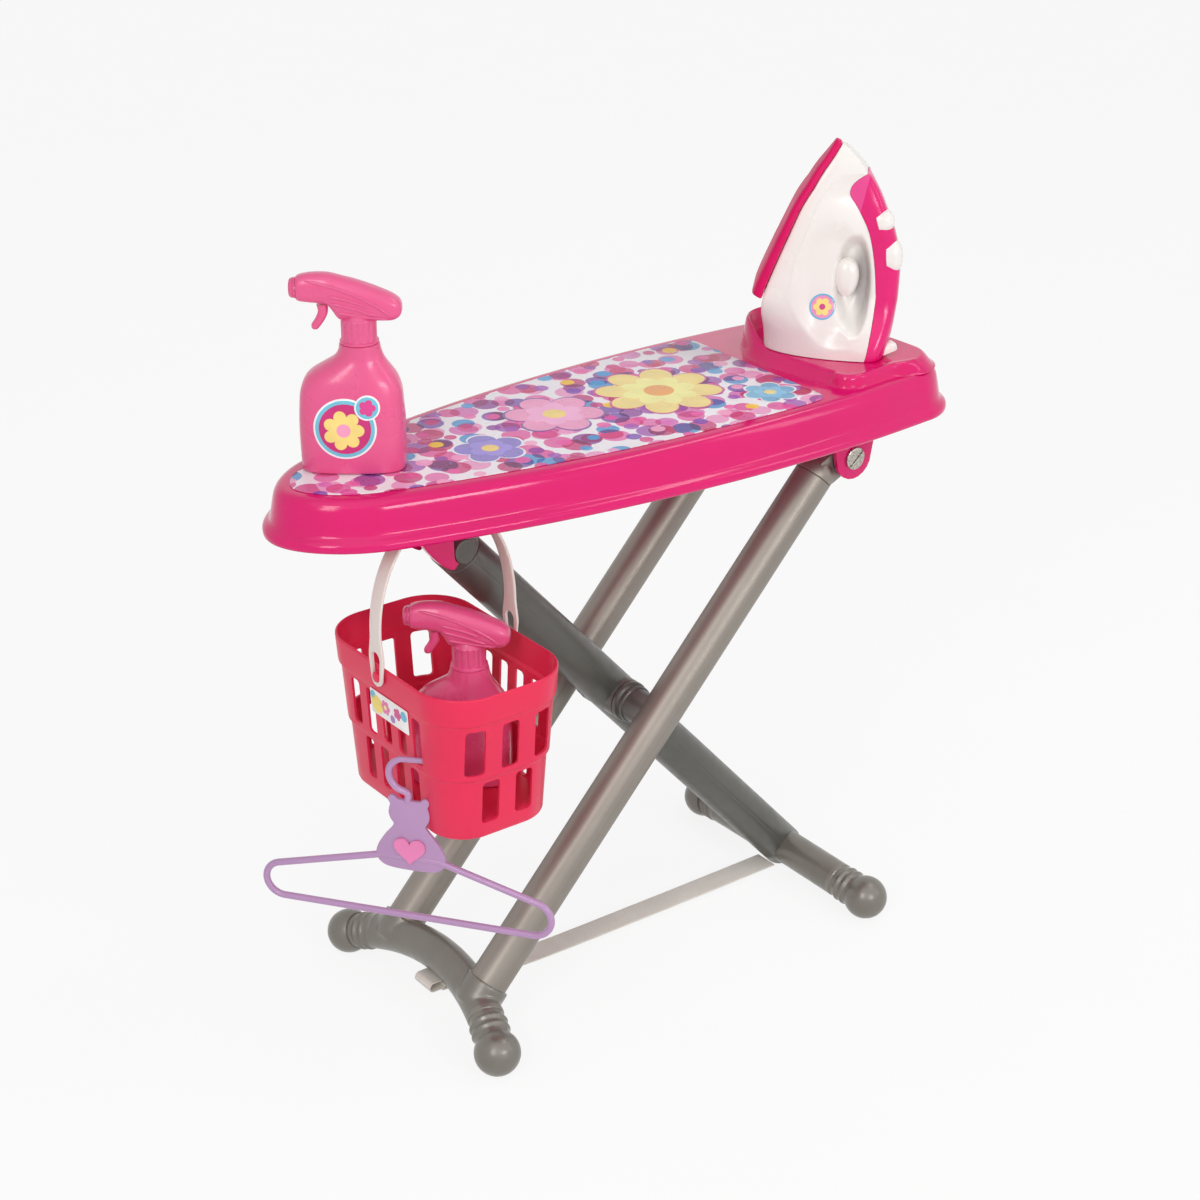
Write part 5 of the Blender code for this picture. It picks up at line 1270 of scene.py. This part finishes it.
# Basket and its bail
BASKET_X = -0.184
BASKET_Y = -0.04
RIM_Z = 0.342
RIM_HALF_X = 0.058
RIM_HALF_Y = 0.0905
RIM_CORNER = 0.038
RIM_BAND = 0.022
TIER_Z = 0.07
BASKET_H = 0.1235
BASKET_TAPER = 0.89
BASKET_WALL = 0.002
BASKET_SKIRT = 0.011
TIER_STEP = 0.002
# Slots of the long and the short sides: pitch, width, number in the upper and in the lower row
SLOTS_X = (0.0295, 0.015, 3, 2)
SLOTS_Y = (0.0208, 0.011, 5, 4)
SLOT_CORNER = 0.0032
PEG_R = 0.004
PEG_LEN = 0.0045
PEG_Z = RIM_Z - 0.008
BAIL_TOP = 0.456
BAIL_W = 0.0143
BAIL_T = 0.0022
EYE_W = 0.0195
EYE_HOLE = 0.0115
EYE_LOW_R = 0.0076
EYE_RISE = 0.0135
BAIL_STRAIGHT = 0.034
BAIL_STEPS = 96
CUT_THROUGH = 0.5
SLOT_UNDER_BAND = 0.006
SLOT_OVER_TIER = 0.004
SLOT_UNDER_TIER = 0.005
SLOT_OVER_FLOOR = 0.0004


def basket_scale(depth):
    return 1 - (1 - BASKET_TAPER) * depth / BASKET_H


def basket_ring(depth, inside):
    scale = basket_scale(depth)
    sizes = (size * scale - inside for size in (RIM_HALF_X, RIM_HALF_Y, RIM_CORNER))
    return [Vector((BASKET_X + x, BASKET_Y + y, RIM_Z - depth)) for x, y in rounded_box(*sizes, 20)]


def carved(mesh, cutters):
    """A mesh with the cutter meshes taken out of it."""
    body = shown("carved", mesh)
    helpers = []
    for cutter in cutters:
        helpers.append(shown("cutter", cutter))
        step = body.modifiers.new("cut", "BOOLEAN")
        step.operation = "DIFFERENCE"
        step.solver = "EXACT"
        step.object = helpers[-1]
    return baked(body, helpers)


def slot_cutter(rows, yaw):
    """Through slots with round corners: rows give centre across, its height, half width and half height."""
    work = bmesh.new()
    for across, z, half_w, half_h in rows:
        shape = plate(rounded_box(half_w, half_h, SLOT_CORNER, 6), CUT_THROUGH)
        shape.transform(upright(yaw, (BASKET_X, BASKET_Y, z)) @ Matrix.Translation((across, 0, 0)))
        work.from_mesh(shape)
        bpy.data.meshes.remove(shape)
    return to_mesh(work)


def basket_rows():
    """The basket's section from under its floor out, up and in again: depth below the rim, way inwards."""
    step, wall, height, floor = TIER_STEP, BASKET_WALL, BASKET_H, BASKET_H - BASKET_SKIRT
    under = [(floor, 4 * step), (height - 0.0004, 4 * step - 0.0002)]
    outer = [(height, 3 * step + 0.0012), (height, 3 * step + 0.0006), (height - 0.0006, 3 * step - 0.0004),
             (height - 0.0016, 2 * step + 0.0006), (height - 0.0032, 2 * step), (TIER_Z + 0.0036, 2 * step),
             (TIER_Z + 0.0022, 2 * step - 0.0003), (TIER_Z + 0.0011, step + 0.0009),
             (TIER_Z + 0.0002, step + 0.0001), (TIER_Z - 0.001, step), (RIM_BAND + 0.0032, step),
             (RIM_BAND + 0.002, step - 0.0003), (RIM_BAND + 0.0011, step - 0.001),
             (RIM_BAND + 0.0003, 0.0002), (RIM_BAND - 0.001, 0.0),
             (0.0026, 0.0), (0.0012, 0.0001), (0.0004, 0.0005), (0.0, 0.001)]
    inner = [(0.0, wall - 0.0006), (0.0004, wall - 0.0001), (0.0014, wall), (RIM_BAND, wall),
             (RIM_BAND + 0.002, step + wall), (TIER_Z, step + wall), (TIER_Z + 0.002, 2 * step + wall),
             (floor - 0.0048, 2 * step + wall), (floor - 0.003, 2 * step + wall + 0.0006),
             (floor - wall, 3 * step + wall)]
    return under + outer + inner


def basket_cutters():
    floor = BASKET_H - BASKET_SKIRT - BASKET_WALL
    spans = ((RIM_BAND + SLOT_UNDER_BAND, TIER_Z - SLOT_OVER_TIER),
             (TIER_Z + SLOT_UNDER_TIER, floor - SLOT_OVER_FLOOR))
    cutters = []
    for (pitch, width, *counts), yaw in ((SLOTS_X, 0.0), (SLOTS_Y, math.radians(90))):
        rows = []
        for (top, bottom), count in zip(spans, counts):
            size = (RIM_Z - (top + bottom) / 2, width / 2, (bottom - top) / 2)
            rows += [((i - (count - 1) / 2) * pitch, *size) for i in range(count)]
        cutters.append(slot_cutter(rows, yaw))
    return cutters


def make_basket():
    shell = loft([basket_ring(*row) for row in basket_rows()])
    piece("basket_moulding", carved(shell, basket_cutters()), CORAL, "basket", ["basket_shell"], crease=30)
    length = PEG_LEN + BASKET_WALL
    peg = [(PEG_R, 0.0), (PEG_R, length - 0.0008), (PEG_R - 0.0003, length - 0.0002),
           (PEG_R - 0.0009, length)]
    out = RIM_HALF_X * basket_scale(RIM_Z - PEG_Z) - BASKET_WALL
    for side, hand in ((-1, "nose"), (1, "leg")):
        place = aim(Vector((BASKET_X + side * out, BASKET_Y, PEG_Z)), ALONG * side)
        piece("bail_peg_" + hand, lathe(peg, 40), CORAL, "basket", world=place)


def make_bail():
    """The flat strap handle: an arch over the basket with a long eye at each end."""
    half = RIM_HALF_X + BAIL_T / 2 + 2 * GAP
    height = BAIL_TOP - BAIL_T / 2 - PEG_Z - BAIL_STRAIGHT
    steps = [math.radians(a) for a in range(-90, 1, 6)]
    leg = [(EYE_LOW_R * math.sin(a), 2 * EYE_LOW_R * max(0.1, math.cos(a))) for a in steps]
    leg += [(EYE_RISE * k / 8, 2 * (EYE_LOW_R + (EYE_W / 2 - EYE_LOW_R) * k / 8)) for k in range(1, 9)]
    leg += [(EYE_RISE + (BAIL_STRAIGHT - EYE_RISE) * k / 12, EYE_W + (BAIL_W - EYE_W) * ease(k / 12))
            for k in range(1, 13)]
    arch = []
    for i in range(1, BAIL_STEPS):
        angle = math.pi * i / BAIL_STEPS
        arch.append((half * math.cos(angle), BAIL_STRAIGHT + height * math.sin(angle), BAIL_W))
    line = [(half, *row) for row in leg] + arch + [(-half, *row) for row in reversed(leg)]

    def section(share):
        wide = line[round(share * (len(line) - 1))][2]
        return rounded_box(wide / 2, BAIL_T / 2, BAIL_T * 0.42, 5)

    strap = sweep([Vector((BASKET_X + x, BASKET_Y, PEG_Z + z)) for x, z, _ in line], section)
    shape = arc((0, 0), PEG_R + 0.0004, 180, 360, 20) + arc((0, EYE_RISE + 0.001), EYE_HOLE / 2, 0, 180, 20)
    hole = plate(shape, 4 * RIM_HALF_X)
    hole.transform(upright(math.radians(90), (BASKET_X, BASKET_Y, PEG_Z)))
    piece("bail_strap", carved(strap, [hole]), PALE, "bail", ["basket_bail"], crease=30)


make_basket()
make_bail()


# Clothes hanger, drawn flat and stood up on a slot of the basket
HANGER_YAW = math.radians(-53.5)
HANGER_ROD_R = 0.0021
HANGER_ROD_SHOWN = 0.0027
HANGER_HALF = 0.115
HANGER_BOTTOM = -0.121
HANGER_MIDDLE = -0.0035
HANGER_PLATE_X = 0.0015
HANGER_PLATE_T = 0.0036
HANGER_SHOULDER = -0.07
HANGER_END_LIFT = 0.0145
HOOK_REACH = 0.0136
HOOK_OUT = 0.0112
BADGE_T = 0.0014
HEART_SCALE = 0.00078
BADGE_Y = -0.062
SHOULDER_X = 0.022
HOOK_DEPTH = TIER_Z - 0.006
HOOK_THIN = (0.45, 0.65)
HOOK_LINE = (
    (0.0, -0.0225), (0.0006, -0.015), (-0.008, -0.011), (-0.0132, -0.003), (-0.0125, 0.006),
    (-0.006, 0.0125), (0.003, 0.0138), (0.015, 0.0142), (0.024, 0.0118), (0.0275, 0.005),
)
PLATE_EDGE = (
    (0.0, -0.0206), (0.0064, -0.0206), (0.0094, -0.0198), (0.0114, -0.018), (0.014, -0.0174),
    (0.016, -0.019), (0.0163, -0.0218), (0.015, -0.0246), (0.0158, -0.0285), (0.0163, -0.0325),
    (0.015, -0.0374), (0.0127, -0.0412), (0.0146, -0.0452), (0.0205, -0.0525), (0.0256, -0.061),
    (0.0276, -0.068), (0.0262, -0.074), (0.0205, -0.0785), (0.011, -0.08), (0.0, -0.0803),
)


def heart_outline():
    points = []
    for angle in turns(96):
        y = 13 * math.cos(angle) - 5 * math.cos(2 * angle) - 2 * math.cos(3 * angle) - math.cos(4 * angle)
        points.append((HEART_SCALE * -16 * math.sin(angle) ** 3, HEART_SCALE * y))
    return points


def hook_section(share):
    full = HANGER_ROD_SHOWN + (HANGER_ROD_R - HANGER_ROD_SHOWN) * ease(share, *HOOK_THIN)
    return circle(full * min(1.0, 0.35 + 14 * (1 - share)), 24)


def make_hanger():
    """A rod bent to a loop, a hook over the slot's lower edge, a plate and its badge."""
    wall_x = BASKET_X - (RIM_HALF_X * basket_scale(HOOK_DEPTH) - TIER_STEP)
    along = Vector((math.cos(HANGER_YAW), math.sin(HANGER_YAW), 0))
    rest = RIM_Z - (TIER_Z - SLOT_OVER_TIER) + HANGER_ROD_R + GAP
    hang = Vector((wall_x + BASKET_WALL / 2, BASKET_Y - 2 * SLOTS_Y[0], rest - HOOK_REACH))
    stand = upright(HANGER_YAW, hang - along * HOOK_OUT)
    left, right = HANGER_MIDDLE - HANGER_HALF, HANGER_MIDDLE + HANGER_HALF
    lift = HANGER_END_LIFT
    loop = [(HANGER_PLATE_X - SHOULDER_X, HANGER_SHOULDER)]
    loop += arc((left + lift, HANGER_BOTTOM + lift), lift, 100, 270, 24)
    loop += arc((right - lift, HANGER_BOTTOM + lift), lift, -90, 80, 24)
    loop += [(HANGER_PLATE_X + SHOULDER_X, HANGER_SHOULDER)]
    rod = sweep(level(loop, 0), circle(HANGER_ROD_SHOWN, 24), closed=True, up=UP)
    piece("hanger_rod", rod, LILAC, "hanger", ["hanger_frame_rod"], stand)
    hook = sweep(level(smooth_path(HOOK_LINE, 10), 0), hook_section, up=UP)
    piece("hanger_hook", hook, LILAC, "hanger", world=stand)
    edge = smooth_path(PLATE_EDGE, 6)
    outline = [(HANGER_PLATE_X - x, y) for x, y in edge]
    outline += [(HANGER_PLATE_X + x, y) for x, y in reversed(edge[1:-1])]
    piece("hanger_plate", plate(outline, HANGER_PLATE_T, 0.0007), LILAC, "hanger", world=stand)
    face = HANGER_PLATE_T / 2 + BADGE_T / 2 + GAP
    badge_at = stand @ Matrix.Translation((HANGER_PLATE_X, BADGE_Y, face))
    piece("badge_heart", plate(heart_outline(), BADGE_T), BADGE, "hanger", ["hanger_badge"], badge_at)


make_hanger()


# Stickers: printed layers that follow the surface below them
STICKER_STEP = 0.00012
STICKER_RINGS = 7
STICKER_FROM = 0.05


def sticker(name, target, body, slot, middle, layers):
    """Lay flat outlines on a piece's near side, seen from its own -Y. Each layer is an outline, its centre
    and its colour, and lies a little above the one before."""
    world = target.matrix_world
    view = world @ Matrix.Translation(middle) @ turned(90, "X")
    corners = [world @ v.co for v in target.data.vertices]
    tree = BVHTree.FromPolygons(corners, [p.vertices[:] for p in target.data.polygons])
    look_along = (view.to_3x3() @ Vector((0, 0, -1))).normalized()

    def lay(x, y, lift):
        spot = tree.ray_cast(view @ Vector((x, y, STICKER_FROM)), look_along)[0]
        return spot - look_along * lift

    for k, (word, outline, (cx, cy), colour) in enumerate(layers):
        lift = STICKER_STEP * (k + 1.5)
        work = bmesh.new()
        hub = work.verts.new(lay(cx, cy, lift))
        steps = [(ring / STICKER_RINGS, lift) for ring in range(1, STICKER_RINGS + 1)] + [(1.0, 0.0)]
        loops = [[work.verts.new(lay(cx + x * share, cy + y * share, high)) for x, y in outline]
                 for share, high in steps]
        for i in range(len(outline)):
            j = (i + 1) % len(outline)
            work.faces.new((hub, loops[0][i], loops[0][j]))
            for low, high in zip(loops, loops[1:]):
                work.faces.new((low[i], high[i], high[j], low[j]))
        title = name + "_" + word
        piece(title, to_mesh(work), (ink(title + "_ink", colour), slot), body)


def make_stickers():
    sticker("bottle_sticker", bottle, "sprayer", "rose", (-0.0035, -0.022, 0.0355), (
        ("edge", circle(0.0228, 72), (0, 0), (250, 248, 248)),
        ("ring", circle(0.0214, 72), (0, 0), (112, 196, 220)),
        ("field", circle(0.0188, 72), (0, 0), (206, 30, 118)),
        ("petals", flower(7, 0.015, 0.3, 98), (-0.001, -0.001), (250, 224, 130)),
        ("middle", circle(0.005, 40), (-0.001, -0.001), (246, 158, 196)),
        ("small_edge", circle(0.0092, 48), (0.0165, 0.016), (250, 248, 248)),
        ("small_field", circle(0.008, 48), (0.0165, 0.016), (112, 196, 220)),
        ("small_petals", flower(5, 0.0062, 0.3, 60), (0.0165, 0.016), (226, 60, 146)),
    ))
    sticker("iron_sticker", iron_shell, "iron", "white", (-0.0045, -0.03, 0.0415), (
        ("ring", circle(0.0104, 48), (0, 0), (104, 182, 222)),
        ("field", circle(0.009, 48), (0, 0), (240, 150, 190)),
        ("petals", flower(6, 0.0072, 0.3, 60), (0, 0), (250, 224, 130)),
        ("middle", circle(0.0024, 24), (0, 0), (206, 60, 130)),
    ))


LABEL_HALF = (0.0258, 0.01)
LABEL_GROW = 1.22
LABEL_DROP = 0.0354
LABEL_SHIFT = -0.0066
LABEL_T = 0.0005
LABEL_LIFT = 0.00006


def make_label():
    """The little label under the bail's eye, with a plain flower print."""
    wall = RIM_HALF_X * basket_scale(LABEL_DROP) - TIER_STEP
    spot = Vector((BASKET_X - wall - LABEL_T, BASKET_Y + LABEL_SHIFT, RIM_Z - LABEL_DROP))
    lean = math.atan((1 - BASKET_TAPER) * RIM_HALF_X / BASKET_H)
    stand = upright(math.radians(-90), spot) @ Matrix.Rotation(lean, 4, "X")
    card = plate(rounded_box(*LABEL_HALF, 0.0012, 5), LABEL_T, 0.0002, 2)
    piece("basket_label", card, (ink("label_white", (250, 248, 246)), "coral"), "basket", world=stand)
    prints = (
        ("sun", circle(0.006, 40), (-0.0135, -0.0008), (250, 222, 96)),
        ("sky", circle(0.003, 32), (-0.0178, 0.0042), (96, 186, 220)),
        ("petals", flower(6, 0.005, 0.3, 60), (-0.004, 0.0006), (236, 108, 172)),
        ("leaf", circle(0.0026, 32), (0.0035, -0.0042), (168, 116, 196)),
        ("bud", flower(5, 0.0042, 0.3, 60), (0.0095, 0.0016), (216, 44, 136)),
        ("drop", circle(0.0034, 32), (0.0168, 0.003), (96, 186, 220)),
        ("eye", circle(0.0016, 24), (-0.004, 0.0006), (250, 236, 150)),
    )
    for word, outline, (x, y), colour in prints:
        title = "basket_label_" + word
        low = LABEL_T / 2 + LABEL_LIFT + STICKER_STEP * (word == "eye")
        mesh = printed([(LABEL_GROW * px, LABEL_GROW * py) for px, py in outline])
        spot = stand @ Matrix.Translation((LABEL_GROW * x, LABEL_GROW * y, low))
        piece(title, mesh, (ink(title + "_ink", colour), "coral"), "basket", world=spot)


make_stickers()
make_label()


# Fittings under the board
HEAD_ALONG = 0.52
HEAD_SPOT = on_leg("b", HEAD_ALONG)
PIN_R = 0.0098
PIN_HALF = 0.027
CLAW_HOLD = 0.0104
CLAW_ARM_T = 0.0077
CLAW_ARM_Y = 0.02315
CLAW_TOP = 0.4757
CLAW_PLATE = (0.0205, 0.027)
CLAW_PLATE_T = 0.004
CLAW_PLATE_BACK = 0.0247
CLAW_TOP_X = (-0.043, -0.0064)
CLAW_FRONT = [(-0.0095, 0.036), (-0.0106, 0.012)]
HEAD_DOME = 0.012
HEAD_SINK = 0.004
CLAW_BACK = (
    (-0.0098, -0.0112), (-0.0122, -0.0119), (-0.019, -0.0078), (-0.028, 0.0012), (-0.0375, 0.015),
    (-0.0425, 0.033),
)


def make_claw():
    """The claw that holds the post's head: two thick arms on one plate."""
    rise = CLAW_TOP - HEAD_SPOT.z
    outline = arc((0, 0), CLAW_HOLD, 176, 228, 12) + smooth_path(CLAW_BACK, 6)
    outline += [(x, rise) for x in CLAW_TOP_X] + CLAW_FRONT
    for side, hand in HANDS:
        arm = plate(outline[::-1], CLAW_ARM_T, 0.0006)
        place = upright(0, (HEAD_SPOT.x, side * CLAW_ARM_Y, HEAD_SPOT.z))
        piece("claw_arm_" + hand, arm, PINK, "board", ["latch_claw"] if side < 0 else (), place)
    base = plate(rounded_box(*CLAW_PLATE, 0.003, 6), CLAW_PLATE_T, 0.0006)
    place = at((HEAD_SPOT.x - CLAW_PLATE_BACK, 0, CLAW_TOP - CLAW_PLATE_T / 2))
    piece("claw_plate", base, PINK, "board", world=place)


def make_post_head():
    """The post's short rounded head, with the ends of its pin at both sides."""
    rise = HEAD_ALONG - POST_TOP
    profile = [(POST_R - 0.0008, 0.0), (POST_R, 0.0008)]
    for angle in (math.radians(a) for a in range(0, 86, 5)):
        profile.append((POST_R * math.cos(angle), rise - HEAD_SINK + HEAD_DOME * math.sin(angle)))
    profile.append((0.0, rise - HEAD_SINK + HEAD_DOME))
    place = aim(on_leg("b", POST_TOP), LEG_AXIS["b"])
    piece("post_head", lathe(profile, 72), DARK_GREY, "leg_b", ["leg_head"], place)
    pin = [(PIN_R, 0.0), (PIN_R, PIN_HALF - 0.0014), (PIN_R - 0.0004, PIN_HALF - 0.0004),
           (PIN_R - 0.0014, PIN_HALF), (PIN_R - 0.0026, PIN_HALF - 0.0003)]
    for side, hand in HANDS:
        piece("post_pin_" + hand, lathe(pin, 56), DARK_GREY, "leg_b", world=aim(HEAD_SPOT, SIDE * side))


make_claw()
make_post_head()
for _, hand in HANDS:
    finish_node("leg_bracket_" + hand, PINK, 0.0006)
    finish_node("pivot_screw_" + hand, STEEL, 0.0003)
    finish_node("tube_knuckle_" + hand, SILVER, 0.0008)
finish_node("basket_hook", PINK, 0.0005)
finish_node("cross_axle", STEEL, 0.0003)


# Stage: pale floor, soft light and the photograph's camera
def background_rays(tree):
    """One for rays from the camera and for reflected and clear rays, which should meet a white room."""
    path = tree.nodes.new("ShaderNodeLightPath")
    seen = path.outputs["Is Camera Ray"]
    for kind in ("Is Glossy Ray", "Is Transmission Ray"):
        either = tree.nodes.new("ShaderNodeMath")
        either.operation = "MAXIMUM"
        tree.links.new(seen, either.inputs[0])
        tree.links.new(path.outputs[kind], either.inputs[1])
        seen = either.outputs[0]
    return seen


def white_floor():
    """Pale floor that looks white to the camera and in reflections, and catches soft shadows."""
    look = Look("pale_floor", 0.95)
    look.colour(look.clouds(look.noise(6.0, 4.0), 0.2, (0.93, 0.93, 0.93, 1.0), (0.95, 0.95, 0.95, 1.0)))
    glow = look.node("ShaderNodeEmission", Color=(1.0, 1.0, 1.0, 1.0), Strength=1.0)
    blend = look.node("ShaderNodeMixShader")
    share = look.maths("MULTIPLY", background_rays(look.tree), FLOOR_GLOW)
    for index, value in enumerate((share, look.shader.outputs[0], glow.outputs[0])):
        look.tree.links.new(value, blend.inputs[index])
    look.tree.links.new(blend.outputs[0], look.tree.nodes["Material Output"].inputs["Surface"])
    return look.material


FLOOR_HALF = 20.0
LIGHTS_AIM = Vector((0, 0, 0.35))
# Area lights: power in watts, place, width and height
BOXES = (
    ("key_box", 12.0, (-1.8, -1.2, 1.55), 0.5, 1.1),
    ("top_strip", 4.0, (0.9, -0.5, 1.9), 1.5, 0.16),
    ("side_box", 3.5, (1.5, -1.7, 1.4), 0.35, 1.2),
    ("front_box", 9.0, (-0.1, -2.0, 1.0), 0.8, 0.3),
)
SKY_POWER = 0.42
SKY_PLACE = (-1.2, -1.6, 3.0)
SKY_ANGLE = math.radians(60)


def lamp(name, kind, power, place):
    data = bpy.data.lights.new(name, kind)
    data.energy = power
    item = shown(name, data)
    item.location = place
    item.rotation_euler = (LIGHTS_AIM - Vector(place)).to_track_quat("-Z", "Y").to_euler()
    item.visible_camera = False
    return data


def make_stage():
    scene = bpy.context.scene
    scene.view_settings.view_transform = "Standard"

    work = bmesh.new()
    bmesh.ops.create_grid(work, x_segments=1, y_segments=1, size=FLOOR_HALF)
    floor = shown("floor", to_mesh(work))
    floor.data.materials.append(white_floor())

    world = bpy.data.worlds.new("studio")
    world.use_nodes = True
    scene.world = world
    tree = world.node_tree
    background = tree.nodes["Background"]
    background.inputs["Color"].default_value = (1.0, 1.0, 1.0, 1.0)
    strength = tree.nodes.new("ShaderNodeMapRange")
    strength.inputs["To Min"].default_value = AMBIENT
    strength.inputs["To Max"].default_value = 1.0
    tree.links.new(background_rays(tree), strength.inputs["Value"])
    tree.links.new(strength.outputs[0], background.inputs["Strength"])

    lamp("sky", "SUN", SKY_POWER, SKY_PLACE).angle = SKY_ANGLE
    for name, power, place, width, height in BOXES:
        data = lamp(name, "AREA", power, place)
        data.shape = "RECTANGLE"
        data.size = width
        data.size_y = height

    data = bpy.data.cameras.new("camera")
    data.sensor_width = 36.0
    data.lens = CAMERA_LENS
    data.shift_x, data.shift_y = CAMERA_SHIFT
    data.clip_end = 100.0
    camera = shown("camera", data)
    level_out = math.cos(CAMERA_ELEVATION)
    back = Vector((math.sin(CAMERA_AZIMUTH) * level_out, -math.cos(CAMERA_AZIMUTH) * level_out,
                   math.sin(CAMERA_ELEVATION)))
    camera.location = CAMERA_AT
    camera.rotation_mode = "QUATERNION"
    camera.rotation_quaternion = back.to_track_quat("Z", "Y")
    scene.camera = camera


make_stage()
